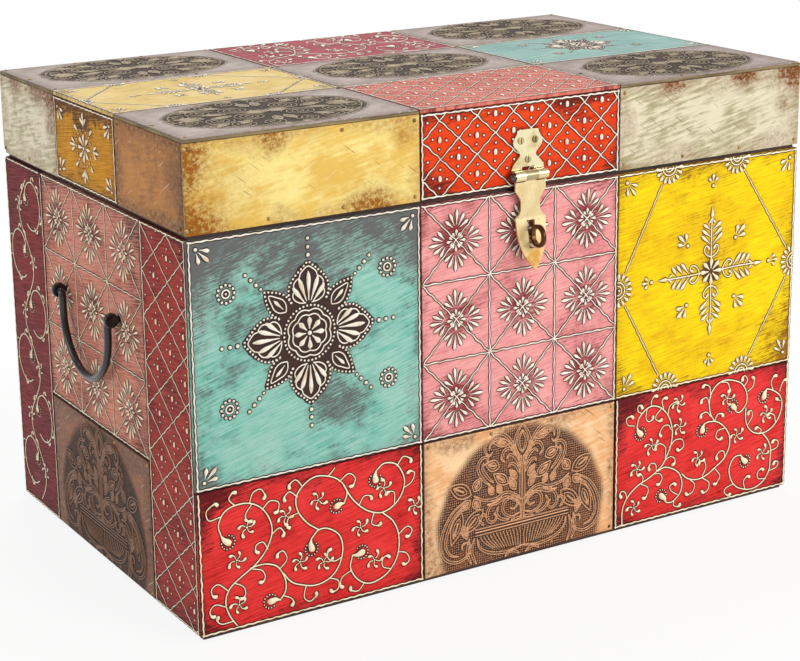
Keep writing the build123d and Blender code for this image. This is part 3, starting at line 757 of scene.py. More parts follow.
def arm(reach: float) -> Drawing:
    """Draws one arm of the cross flower along u: a stem, two curls, pairs of leaves, a tip and a sprig.

    Args:
        reach: where the sprig stands.

    Returns:
        The drawing.
    """
    drawing = Drawing().line([(9, 0), (30, 0.5), (50, 0)], 0.6)
    for side in (1, -1):
        curl = [(12, 0), (14, 4.5 * side), (18.5, 7.5 * side), (22, 5 * side), (19.5, 2.8 * side)]
        drawing.line(curl, 0.6, 1.2)
        for k, start in enumerate((23, 29, 35)):
            drawing.drop(start, 1.4 * side, (50 + 3 * k) * side, 12.5 - 1.6 * k, 1.45)
        drawing.drop(44, 0.6 * side, 148 * side, 4.5, 1.1)
    drawing.drop(54, 0, 180, 9, 1.7)
    return drawing.put(sprig(9, 1.5), reach, 0, 0.95)


def half_rosette() -> Drawing:
    """Draws a rosette cut by an edge: a dot, two arcs and drops over a half turn that opens along v.

    Returns:
        The drawing.
    """
    drawing = Drawing().dot(0, 1.5, 1.2)
    half_turn = np.radians(np.linspace(0, 180, 9))
    for reach in (4.2, 7.4):
        drawing.line(round_path(reach, half_turn), 0.6)
    for turn in np.linspace(4, 176, 9):
        drawing.drop(*polar(9, turn), turn, 6.2, 1.6)
    return drawing


def cross_flower_tile(width: float, height: float) -> Drawing:
    """Draws a flower with four leafy arms, half rosettes on the edges joined by lines, and corner sprigs.

    Args:
        width, height: the tile's size.

    Returns:
        The drawing.
    """
    flower = Drawing()
    for turn in range(0, 360, 45):
        flower.drop(*polar(2.4, turn), turn, 8.6, 1.9)
    way = np.linspace(0, 2 * np.pi, 64, endpoint=False)
    reach = 10.3 + 1.3 * np.cos(8 * way) + 0.3 * np.sin(27 * way)
    flower.films.append(np.concatenate([[[0, 0]], round_path(reach, way)]))
    for k in range(4):
        flower.put(arm(72 if k % 2 else 62), turn=90 * k)
        flower.put(sprig(13, 1.8), *polar(36, 90 * k + 45), 0.95, 90 * k + 45)
    # The motifs' own sizes are for a tile of 201 by 202 mm, and the flower is drawn wider on a wide one.
    size = min(width / 201, height / 202)
    bold = size * 1.1
    wide = bold if width < 1.2 * height else bold * 1.35
    drawing = Drawing().put(flower, 0.517 * width, 0.5 * height, (wide, bold))
    left, right = (0, 0.49 * height), (width, 0.48 * height)
    top_left, top_right = (0.27 * width, height), (0.65 * width, height)
    low_left, low_right = (0.27 * width, 0), (0.71 * width, 0)
    for place, turn in ((top_left, 180), (top_right, 180), (low_left, 0), (low_right, 0), (left, 270),
                        (right, 90)):
        drawing.put(half_rosette(), *place, size, turn)
    gap = 17 * size
    for start, end in ((left, top_left), (left, low_left), (right, top_right), (right, low_right)):
        a, b = np.array(start), np.array(end)
        unit = (b - a) / np.linalg.norm(b - a)
        drawing.wave(tuple(a + unit * gap), tuple(b - unit * gap), 0.5, 9, 0.2)
    for x, y, turn in ((9, 9, 60), (width - 9, 11, 118), (width - 9, height - 9, 232), (9, height - 9, 308)):
        drawing.put(sprig(14, 1.5), x, y, max(size, 0.75), turn)
    return drawing


def lattice_tile(width: float, height: float, cell: Pair) -> Drawing:
    """Draws wavering diagonals that cross in lozenges, each with a long dot and four small ones.

    The diagonals are the lines v = offset plus or minus u * cell height / cell width, cut to the tile.

    Args:
        width, height: the tile's size.
        cell: the width and height of a lozenge.

    Returns:
        The drawing.
    """
    drawing = Drawing()
    slope = cell[1] / cell[0]
    for sign in (1, -1):
        first = 0.0 if sign > 0 else height + slope * width
        offset = (-math.ceil(width * slope / cell[1]) * cell[1]) if sign > 0 else 0.0
        offset += cell[1] / 2
        last = height if sign > 0 else first
        while offset < last:
            ends = []
            for u, v in ((0, offset), (width, offset + sign * slope * width)):
                cut = min(max(v, 1.5), height - 1.5)
                ends.append((u + (cut - v) / (sign * slope), cut))
            if 2 < ends[1][0] - ends[0][0]:
                start, end = [(min(max(u, 1.5), width - 1.5), v) for u, v in ends]
                drawing.wave(start, end, 0.5)
            offset += cell[1]
    rows = int(2 * height / cell[1]) + 2
    columns = int(2 * width / cell[0]) + 2
    for i in range(columns):
        for j in range(rows):
            if (i + j) % 2 == 0:
                continue
            x, y = i * cell[0] / 2, j * cell[1] / 2 + cell[1] / 2
            drawing.line([(x, y - 1), (x, y), (x, y + 1)], 1.75, step=1)
            for u, v in ((-6.6, 1), (6.6, -1), (0.5, 7.6), (-0.5, -7.6)):
                drawing.dot(x + u, y + v, 1.1)
    return drawing.inside(width, height, 1.2)


def blossom(size: float = 1) -> Drawing:
    """Draws five bent petals round a dot, as loose strokes that end in a bulb.

    Args:
        size: its scale.

    Returns:
        The drawing.
    """
    drawing = Drawing().dot(0, 0, 1.0 * size)
    for k in range(5):
        stroke = Drawing().line([(1.8, 0), (4.2, -0.5), (6.4, 0.6), (7.3, 2.4)], 0.42, 1.45, step=0.8)
        drawing.put(stroke, 0, 0, size * (0.86 + 0.1 * (k % 3)), 72 * k + 20)
    return drawing


def hooked(points: Sequence[Pair]) -> Array:
    """Bends the end of a path on by 60 degrees for 2.6 mm, the way that it last turned.

    Args:
        points: the places that the path passes.

    Returns:
        (n, 2) points, one more than before.
    """
    path = np.array(points, float)
    if len(path) < 3:
        return path
    before, last = path[-2] - path[-3], path[-1] - path[-2]
    turn = math.copysign(math.radians(60), before[0] * last[1] - before[1] * last[0])
    way = last / np.linalg.norm(last)
    bent = np.array([way[0] * math.cos(turn) - way[1] * math.sin(turn),
                     way[0] * math.sin(turn) + way[1] * math.cos(turn)])
    return np.concatenate([path, [path[-1] + 2.6 * bent]])


@dataclass(frozen=True)
class Vine:
    """A scrolling vine: stems that each end in a paisley, tendrils that end in a bulb, and blossoms.

    size is the tile's that it is drawn for, and half is the stems' half-width. A stem or tendril
    is the u and v of its points by turns.
    """

    size: Pair
    stems: tuple[tuple[float, ...], ...]
    heads: tuple[Pair, ...]
    tendrils: tuple[tuple[float, ...], ...]
    blossoms: tuple[Pair, ...]
    half: float = 0.64

    def tile(self, width: float, height: float) -> Drawing:
        """The vine, fitted to a tile."""
        scale = (width / self.size[0], height / self.size[1])
        return Drawing().put(self.draw(), 0, 0, scale).inside(width, height, 2.5)

    def paisley(self, drawing: Drawing, end: Pair, head: Pair) -> None:
        """Adds the swollen end of a stem and the dots round it.

        The body widens from the stem to the head, and the dots lie on an arc round the head.

        Args:
            drawing: the drawing to add to.
            end: where the stem stops.
            head: the middle of the swollen end.
        """
        a, b = np.array(end, float), np.array(head, float)
        path = even_path(np.stack([a, 0.5 * (a + b) + 0.12 * (b - a)[::-1] * (1, -1), b]), 1.2)
        t = np.linspace(0, 1, len(path))
        drawing.lines.append((path, self.half + 2.4 * np.sin(np.clip(t, 0, 1) * np.pi / 2) ** 1.4))
        way = math.degrees(math.atan2(*(b - a)[::-1]))
        drawing.dotted_ring(head[0], head[1], 5.9, 11, 0.72, way - 130, 285)

    def draw(self) -> Drawing:
        """Draws the vine in the millimetres of its own tile.

        Returns:
            The drawing.
        """
        drawing = Drawing()
        for stem, head in zip(self.stems, self.heads):
            path = np.reshape(stem, (-1, 2))
            drawing.line(path, self.half)
            self.paisley(drawing, path[-1], head)
        for tendril in self.tendrils:
            drawing.line(hooked(np.reshape(tendril, (-1, 2))), 0.8 * self.half, 1.75, step=1.2)
        for k, (x, y) in enumerate(self.blossoms):
            drawing.put(blossom(), x, y, 1, 31 * k)
        return drawing


RIGHT_VINE = Vine(
    size=(202, 123),
    stems=(
        (9, 1, 9, 16, 14, 27, 25, 36, 40, 42, 53, 50, 60, 61, 64, 72, 64, 85, 59, 98, 50, 107, 40, 110, 32, 107,
         26, 101, 24, 93),
        (49, 46, 56, 48, 65, 45, 73, 39, 77, 30, 76, 21, 71, 15, 65, 12, 59, 13),
        (77, 37, 84, 31, 95, 28, 106, 30, 117, 36, 126, 42, 132, 52, 132, 63, 126, 73, 117, 80, 107, 82, 102, 81),
        (114, 81, 109, 89, 107, 99, 109, 109, 115, 116, 124, 119, 135, 117, 145, 112, 151, 103, 152, 94, 149, 88,
         143, 84, 139, 86),
        (151, 87, 151, 77, 154, 68, 161, 61, 171, 58, 181, 60, 189, 66, 194, 75, 195, 85, 191, 93, 182, 99, 176,
         101),
        (173, 57, 179, 50, 183, 41, 183, 30, 182, 19, 176, 10, 166, 5, 155, 5, 143, 10, 136, 18, 133, 28, 135, 36,
         140, 41, 147, 41),
    ),
    heads=((28, 86), (53, 21), (99, 75), (135, 92), (172, 94), (152, 34)),
    tendrils=(
        (40, 110, 40, 115, 43, 119), (54, 105, 52, 112, 54, 115), (59, 98, 61, 106, 68, 109),
        (30, 105, 25, 108, 25, 113, 28, 113), (21, 95, 14, 97, 12, 103, 17, 105),
        (35, 108, 34, 100, 37, 96, 41, 97), (51, 105, 46, 101, 45, 97, 49, 94), (63, 83, 60, 88, 54, 88, 50, 82),
        (62, 67, 68, 72, 76, 71, 78, 64, 73, 61), (57, 57, 57, 67, 51, 72, 46, 71),
        (57, 55, 63, 57, 68, 54, 68, 50), (47, 47, 46, 53, 41, 55, 38, 52), (44, 44, 51, 43, 54, 38, 51, 33),
        (31, 38, 32, 43, 29, 47), (30, 37, 37, 33, 38, 28, 35, 23), (14, 27, 12, 33, 8, 35, 6, 32),
        (72, 18, 65, 23, 63, 28, 67, 30), (68, 13, 68, 8, 73, 6), (86, 30, 92, 24, 90, 17, 84, 15),
        (101, 28, 109, 22, 108, 15, 103, 13), (116, 34, 122, 26, 118, 19), (101, 30, 105, 38, 103, 44, 98, 45),
        (127, 44, 126, 49, 121, 50, 117, 46), (127, 72, 118, 71, 116, 65, 120, 62), (114, 81, 117, 87, 122, 87),
        (108, 108, 107, 116, 101, 119), (107, 99, 104, 106, 98, 105), (109, 87, 104, 92, 98, 91),
        (148, 109, 152, 114, 149, 119, 146, 118), (153, 103, 159, 107, 160, 114), (121, 118, 128, 116, 131, 109),
        (154, 70, 159, 77, 158, 83, 155, 83), (168, 58, 171, 61, 166, 65), (188, 66, 186, 73, 180, 76),
        (184, 98, 181, 106, 184, 112), (192, 96, 194, 102, 197, 106), (193, 86, 188, 89),
        (183, 38, 191, 40, 192, 46, 187, 48), (182, 18, 191, 20, 193, 25, 189, 26),
        (178, 11, 169, 13, 168, 19, 172, 22), (153, 6, 151, 14, 155, 18), (139, 14, 130, 12, 128, 8, 132, 4),
    ),
    blossoms=((22, 16), (25, 53), (41, 72), (71, 107), (73, 84), (95, 49), (128, 101), (141, 62), (173, 38),
              (176, 76)),
)

LEFT_VINE = Vine(
    size=(208, 123),
    stems=(
        (33, 1, 25, 14, 22, 26, 26, 37, 37, 45, 49, 52, 59, 62, 65, 75, 64, 87, 57, 99, 46, 106, 33, 107, 23, 103,
         18, 93, 20, 84),
        (45, 50, 52, 51, 61, 50, 70, 45, 76, 33, 76, 23, 71, 16),
        (75, 38, 80, 31, 87, 26, 103, 21, 117, 24, 126, 33, 130, 47, 127, 60, 117, 68, 108, 69, 101, 63),
        (108, 69, 97, 78, 89, 90, 88, 102, 95, 111, 106, 116, 120, 113, 130, 106, 135, 96, 132, 87),
        (132, 103, 140, 89, 152, 77, 166, 71, 178, 74, 187, 83, 190, 96, 183, 110, 171, 114, 163, 109),
        (168, 71, 179, 60, 184, 45, 182, 28, 172, 15, 156, 10, 144, 16, 137, 28, 139, 39),
    ),
    heads=((26, 77), (62, 17), (101, 54), (125, 86), (162, 101), (148, 40)),
    tendrils=(
        (20, 100, 10, 99, 8, 107, 15, 112), (33, 107, 28, 113, 31, 118), (46, 106, 49, 114, 56, 116, 60, 110),
        (57, 98, 64, 104, 72, 101, 71, 94), (48, 105, 42, 97, 44, 91), (61, 63, 57, 70, 51, 69, 50, 64),
        (65, 75, 72, 79, 76, 74), (24, 36, 16, 43, 10, 40, 11, 34), (22, 22, 13, 26, 8, 22, 9, 17),
        (30, 41, 38, 36, 40, 30, 38, 26), (47, 49, 55, 46, 58, 40, 56, 36), (71, 43, 78, 50, 75, 58, 70, 57),
        (74, 19, 81, 15, 83, 11), (95, 23, 93, 13, 98, 8, 104, 11), (117, 24, 125, 20, 125, 13, 120, 11),
        (129, 40, 122, 38, 116, 42, 116, 48), (90, 88, 81, 86, 79, 79), (89, 102, 82, 108, 77, 104),
        (94, 110, 88, 117, 82, 114), (118, 114, 124, 120, 118, 121), (128, 107, 137, 112, 143, 107, 141, 101),
        (146, 82, 151, 89, 157, 88), (160, 72, 158, 63, 164, 60), (180, 76, 180, 86, 174, 88),
        (189, 88, 197, 92, 200, 99, 196, 102), (183, 109, 189, 116, 196, 113),
        (184, 48, 192, 53, 197, 49, 194, 44), (183, 32, 191, 29, 194, 22, 190, 19),
        (176, 18, 168, 22, 168, 29, 172, 31), (150, 12, 144, 6, 137, 8), (138, 26, 129, 22, 127, 15),
        (28, 8, 18, 8, 14, 12),
    ),
    blossoms=((34, 21), (33, 60), (43, 86), (78, 88), (90, 45), (108, 95), (112, 40), (147, 62), (160, 30),
              (170, 92), (200, 70)),
)


def vine_column(width: float, height: float) -> Drawing:
    """Draws a climbing vine: loops that lean left and right by turns, each with a paisley and tendrils.

    Each loop is most of a turn of a circle that starts from the stem, and the stem is a sine of v.

    Args:
        width, height: the tile's size.

    Returns:
        The drawing.
    """
    drawing = Drawing()
    loops = 6
    pitch = (height - 26) / loops
    v = np.linspace(6, height - 14, 60)
    middle = width / 2
    stem = np.stack([middle + 0.16 * width * np.sin(np.pi * (v - 6) / pitch), v], axis=1)
    drawing.line(stem, 0.7)
    for k in range(loops):
        side = 1 if k % 2 else -1
        centre = np.array([middle + side * 0.2 * width, 14 + pitch * (k + 0.55)])
        turn = np.linspace(-2.2, 2.6, 14)
        reach = 0.2 * width * (1.12 - 0.05 * turn)
        loop = centre + np.stack([side * reach * np.cos(turn), reach * 1.15 * np.sin(turn)], axis=1)
        drawing.line(loop, 0.7)
        Vine((width, height), (), (), (), ()).paisley(drawing, loop[-1], loop[-1] + (side * 1.5, -7))
        for angle, sweep in ((-1.3, 1), (-0.3, -1), (0.6, 1), (1.5, -1), (2.4, 1)):
            root = centre + np.array([side * 0.22 * width * math.cos(angle), 0.24 * width * math.sin(angle)])
            out = np.array([side * math.cos(angle), math.sin(angle)])
            along = sweep * np.array([-out[1], out[0]])
            tendril = hooked([root, root + 4 * out + along, root + 5.5 * out + 4.5 * along])
            drawing.line(tendril, 0.55, 1.7, step=1.2)
        drawing.put(blossom(0.95), centre[0] - side * 0.36 * width, centre[1] - 4, 1, 40 * k)
    return drawing.inside(width, height, 3)


def border(drawing: Drawing, tile: Tile, sides: Sequence[Side], worn: float) -> Drawing:
    """Adds a wavering line along a tile's sides, 1.6 mm inside them.

    Args:
        drawing: the tile's drawing.
        tile: the tile.
        sides: the sides that have one.
        worn: the gap at the upper corners.

    Returns:
        The same drawing.
    """
    left, right, low, high = 1.6, tile.width - 1.6, 1.6, tile.height - 1.6
    ends = {Side.LEFT: ((left, 1), (left, tile.height - worn)),
            Side.RIGHT: ((right, 1), (right, tile.height - worn)),
            Side.BOTTOM: ((1, low), (tile.width - 1, low)),
            Side.TOP: ((worn, high), (tile.width - worn, high))}
    for side in sides:
        drawing.wave(*ends[side], 0.66, 8, 0.26)
    return drawing


# ---- shader pieces

Socket = bpy.types.NodeSocket
Tree = bpy.types.NodeTree
Adder = Callable[..., Socket]
Spot = tuple[float, float, float, float]
# For some kinds of node: the sockets that are set, in order, the output that is read, and settings.
KINDS = {
    "AmbientOcclusion": (("Distance",), "AO", {}),
    "Attribute": ((), "Fac", {}),
    "Bump": (("Height", "Distance", "Strength"), 0, {}),
    "MapRange": (range(5), 0, {"interpolation_type": "SMOOTHSTEP"}),
    "Mapping": (("Vector", "Rotation"), 0, {}),
    "Mix": ((0, 6, 7), 2, {"data_type": "RGBA"}),
    "TexCoord": ((), "Object", {}),
    "TexNoise": (("Vector", "Scale", "Detail", "Roughness"), 0, {}),
    "TexVoronoi": (("Vector", "Scale", "Randomness"), 0, {}),
}


def linear(code: str) -> Colour:
    """Turns an sRGB hex colour into linear light, each channel by the sRGB curve.

    Args:
        code: the colour, such as "#f7efe0".

    Returns:
        Red, green, blue and alpha.
    """
    channels = [int(code[k:k + 2], 16) / 255 for k in (1, 3, 5)]
    red, green, blue = (c / 12.92 if c <= 0.04045 else ((c + 0.055) / 1.055) ** 2.4 for c in channels)
    return red, green, blue, 1.0


def add(tree: Tree, kind: str, *values: object, output: str | None = None,
        **settings: object) -> Socket | None:
    """Adds a node with its settings, and links or sets its inputs.

    Args:
        tree: the material's tree.
        kind: the node's type, less its first word, and its operation after a dot.
        values: for each socket in order, the output to link, a hex colour or a plain value. They
            may also be one dict by the sockets' names.
        output: the name of the output that is wanted, where it isn't the usual one.
        settings: the node's own properties.

    Returns:
        The output, if the node has any.
    """
    kind, _, operation = kind.partition(".")
    sockets, usual, preset = KINDS.get(kind, (range(len(values)), 0, {}))
    node = tree.nodes.new(f"ShaderNode{kind}")
    for name, value in (preset | settings | ({"operation": operation} if operation else {})).items():
        setattr(node, name, value)
    named = values[0] if values and isinstance(values[0], dict) else dict(zip(sockets, values))
    for key, value in named.items():
        if isinstance(value, bpy.types.NodeSocket):
            tree.links.new(value, node.inputs[key])
        else:
            node.inputs[key].default_value = linear(value) if isinstance(value, str) else value
    return node.outputs[output or usual] if node.outputs else None


def grain(node: Adder, place: Socket, stretch: tuple[float, float, float], detail: float,
          rough: float = 0.5, turn: float = 0.0) -> Socket:
    """Draws streaks: a noise about 0.5 on a place that is turned back and then stretched.

    Args:
        node: adds a node to the material.
        place: where the noise is read.
        stretch: the noise's scale along each axis, per metre.
        detail: how many finer layers it has.
        rough: how strong the finer layers are.
        turn: the slope of the streaks, in degrees.

    Returns:
        The noise.
    """
    place = node("Mapping", place, (0, 0, -math.radians(turn)))
    place = node("VectorMath.MULTIPLY", place, stretch)
    return node("TexNoise", place, 1.0, detail, rough)


def new_material(name: str) -> tuple[Material, Adder]:
    """Makes an empty node material.

    Args:
        name: the material's name.

    Returns:
        The material, and the function that adds a node to it.
    """
    material = bpy.data.materials.new(name)
    material.use_nodes = True
    material.node_tree.nodes.clear()
    return material, partial(add, material.node_tree)


def finish_surface(node: Adder, **sockets: object) -> None:
    """Adds the surface shader with the named sockets, and the output."""
    inputs = {name.replace("_", " ").title().replace("Ior", "IOR"): value for name, value in sockets.items()}
    node("OutputMaterial", node("BsdfPrincipled", inputs))


@dataclass
class TilePlace:
    """Where a shaded point lies on its tile, in metres from the tile's lower left corner."""

    node: Adder
    tile: Tile

    def __post_init__(self) -> None:
        """Adds the nodes: u runs along the face, and the mirrored end's u is the negative of y."""
        split = self.node("SeparateXYZ", self.node("TexCoord")).node.outputs
        axis_u, axis_v = {Face.FRONT: (0, 2), Face.TOP: (0, 1)}.get(self.tile.face, (1, 2))
        hand = -1.0 if self.tile.face is Face.LEFT else 1.0
        self.u = self.node("Math.MULTIPLY_ADD", split[axis_u], hand, -self.tile.u0 * MM)
        self.v = self.node("Math.SUBTRACT", split[axis_v], self.tile.v0 * MM)
        self.width, self.height = self.tile.width * MM, self.tile.height * MM
        self.flat = self.node("CombineXYZ", self.u, self.v)

    def moved(self, seed: float) -> Socket:
        """The flat place, moved so that each tile reads another part of a noise."""
        return self.node("VectorMath.ADD", self.flat, (seed, seed * 1.7, 0))

    def margins(self) -> list[Socket]:
        """The distance to the nearer side along u, and along v."""
        return [self.node("Math.MINIMUM", way, self.node("Math.SUBTRACT", size, way))
                for way, size in ((self.u, self.width), (self.v, self.height))]

    def spots(self, spots: Sequence[Spot]) -> Socket | float:
        """Sums round stains.

        Args:
            spots: for each, its share of the width and of the height, its radius and strength.

        Returns:
            The sum, which is 0 without spots.
        """
        total: Socket | float = 0.0
        for share_u, share_v, radius, strength in spots:
            middle = (share_u * self.width, share_v * self.height, 0)
            away = self.node("VectorMath.DISTANCE", self.flat, middle, output="Value")
            spot = self.node("MapRange", away, radius * MM, 0.0, 0.0, strength)
            total = self.node("Math.ADD", spot, total)
        return total

    def cells(self, columns: int, rows: int, share_u: float, share_v: float, radius: float) -> Socket:
        """Repeats one round stain in cells, by the fraction of the place over the cell's size.

        Args:
            columns: cells along u.
            rows: cells along v.
            share_u: the stain's middle along u, as a share of its cell.
            share_v: the same along v.
            radius: its radius.

        Returns:
            The stain, 1 in its middle and 0 outside.
        """
        cell = (self.width / columns, self.height / rows)
        place = self.node("VectorMath.MULTIPLY", self.flat, (1 / cell[0], 1 / cell[1], 0))
        place = self.node("VectorMath.FRACTION", place)
        place = self.node("VectorMath.SUBTRACT", place, (share_u, share_v, 0))
        place = self.node("VectorMath.MULTIPLY", place, (*cell, 0))
        reach = self.node("VectorMath.LENGTH", place, output="Value")
        return self.node("MapRange", reach, radius * MM, 0.2 * radius * MM)


# ---- finishes


@dataclass(frozen=True)
class DistressedPaint:
    """Brushed emulsion paint on wood, rubbed back and dirtied with a dark wax.

    It is matt, its colour drifts from stroke to stroke, and the wax stays in dry-brush streaks,
    in specks and along the edges. Round the motifs wax and painted shade darken it.

    colour and deep are the paint's two shades, and wax is the colour of the dirt and of the painted
    shade. streak, edge, corner, speck and stain are how much dirt lies in the brush strokes, along the
    edges, in the corners, in specks and as a thin glaze, and rub is how strongly wax and painted shade
    darken it round the paste-work. top is how far a dark band comes down from the upper edge, in
    millimetres, and tilt is its slope. lean is the slope of the brush strokes in degrees. halo is
    columns, rows, the share of a cell where dirt gathers, its radius and strength. spots are single
    stains, and seed moves the pattern.
    """

    name: str
    colour: str
    deep: str
    wax: str = "#4b2f28"
    streak: float = 0.6
    edge: float = 0.6
    corner: float = 0.5
    speck: float = 0.5
    stain: float = 0.3
    rub: float = 0.8
    top: float = 0
    tilt: float = 0
    lean: float = 9
    halo: tuple[int, int, float, float, float, float] | None = None
    spots: tuple[Spot, ...] = ()
    seed: float = 0

    def coverage(self, place: TilePlace, cloud: Socket, patch: Socket) -> Socket:
        """Works out how much dirt the brush left: clouds, edges, corners, the top band, halo and spots.

        Args:
            place: where the shaded point lies.
            cloud: a noise 60 mm across.
            patch: a noise 15 mm across.

        Returns:
            The dirt, 0 and more.
        """
        node = place.node
        drift = node("Math.MULTIPLY_ADD", cloud, 0.09, -0.045)
        near_u, near_v = place.margins()
        near = node("Math.ADD", node("Math.MINIMUM", near_u, near_v), drift)
        corner = node("Math.ADD", node("Math.ADD", near_u, near_v), drift)
        total = node("Math.MULTIPLY", node("MapRange", cloud, 0.45, 0.65), self.streak)
        bands = [(near, 0.012, 0.0, self.edge), (corner, 0.045, 0.005, self.corner)]
        if self.top:
            level = node("Math.MULTIPLY_ADD", place.u, -self.tilt, place.v)
            level = node("Math.ADD", level, drift)
            bands.append((level, place.height - self.top * MM, place.height - 0.45 * self.top * MM, 0.9))
        for way, start, end, most in bands:
            total = node("Math.ADD", total, node("MapRange", way, start, end, 0.0, most))
        wet = node("Math.MULTIPLY_ADD", patch, 1.6, 0.2)
        if self.halo:
            *cell, strength = self.halo
            stain = node("Math.MULTIPLY", place.cells(*cell), wet)
            total = node("Math.MULTIPLY_ADD", stain, strength, total)
        if self.spots:
            total = node("Math.MULTIPLY_ADD", place.spots(self.spots), wet, total)
        return total

    def material(self, tile: Tile) -> Material:
        """Builds the paint.

        Args:
            tile: the tile it is for.

        Returns:
            The material.
        """
        material, node = new_material(f"{self.name}_{tile.node}")
        place = TilePlace(node, tile)
        moved = place.moved(self.seed)
        # Clouds of 60 mm, patches of 15 mm, pinholes of a millimetre where the paint was rubbed off
        # its high spots, bristle tracks 0.9 mm wide and scrubs of 5 by 1.5 mm.
        cloud = node("TexNoise", moved, 16.0, 5.0, 0.65)
        patch = node("TexNoise", moved, 62.0, 6.0, 0.75)
        pinhole = node("TexNoise", moved, 620.0, 2.0, 0.6)
        bristle = grain(node, moved, (40, 900, 1), 2.0, 0.5, self.lean)
        scrub = grain(node, moved, (190, 640, 1), 3.0, 0.7, self.lean)
        coverage = self.coverage(place, cloud, patch)
        grit = node("Math.MULTIPLY_ADD", scrub, 0.5, node("Math.MULTIPLY", bristle, 0.5))
        dirt = node("MapRange", node("Math.MULTIPLY_ADD", coverage, 0.19, grit), 0.6, 0.76, 0.0, 0.85)
        pinhole = node("Math.MULTIPLY_ADD", coverage, 0.05, pinhole)
        pinhole = node("MapRange", pinhole, 0.645, 0.73, 0.0, self.speck)
        dirt = node("Math.MAXIMUM", dirt, pinhole)
        # Wax and painted shade: ambient occlusion darkens the paint within 4 mm of the raised paste.
        open_air = node("AmbientOcclusion", 0.004, samples=6)
        wax_and_shade_near_paste = node("MapRange", open_air, 0.99, 0.88, 0.0, self.rub)
        wax_and_shade_near_paste = node("Math.MULTIPLY", wax_and_shade_near_paste, node("MapRange", patch, 0.35, 0.6, 0.4, 1.0))
        dirt = node("Math.MAXIMUM", dirt, wax_and_shade_near_paste)
        tone = node("Math.MULTIPLY_ADD", cloud, 0.6, node("Math.MULTIPLY", bristle, 0.7))
        tone = node("MapRange", tone, 0.5, 0.8)
        glaze = node("MapRange", node("Math.MULTIPLY_ADD", coverage, 0.4, patch), 0.52, 0.98, 0.0, self.stain)
        paint = node("Mix", tone, self.colour, self.deep)
        paint = node("Mix", glaze, paint, self.wax)
        worn = node("Mix", dirt, paint, self.wax)
        ridges = node("Bump", bristle, 0.0003, 0.35)
        dull = node("MapRange", bristle, 0.3, 0.7, 0.42, 0.62)
        finish_surface(node, base_color=worn, roughness=dull, normal=ridges, specular_ior_level=0.14)
        return material


@dataclass(frozen=True)
class PastePaint:
    """White chalk-and-glue paste, piped from a cone, with wax and painted shade at its edge: matt, cream where
    handled.
    """

    name: str
    colour: str = "#f7efe0"
    worn: str = "#dcc8a4"
    wax_and_shade_foot: str = "#3a2119"

    def material(self) -> Material:
        """Builds the paste's finish.

        Returns:
            The material.
        """
        material, node = new_material(self.name)
        place = node("TexCoord")
        # Blotches 10 mm across, and grains of chalk about a millimetre wide.
        chalk = node("TexNoise", place, 900.0, 1.0, 0.5)
        blotch = node("MapRange", node("TexNoise", place, 95.0, 3.0, 0.5), 0.48, 0.72, 0.0, 0.85)
        body = node("Mix", blotch, self.colour, self.worn)
        # The skirt round each bead takes the dark edge colour: wax, and painted shade where the bead meets the
        # panel.
        ridge = node("MapRange", node("Attribute", attribute_name="ridge"), 0.3, 0.75)
        mixed = node("Mix", ridge, self.wax_and_shade_foot, body)
        rough = node("Bump", chalk, 0.0002, 0.2)
        finish_surface(node, base_color=mixed, roughness=0.5, normal=rough, specular_ior_level=0.3)
        return material


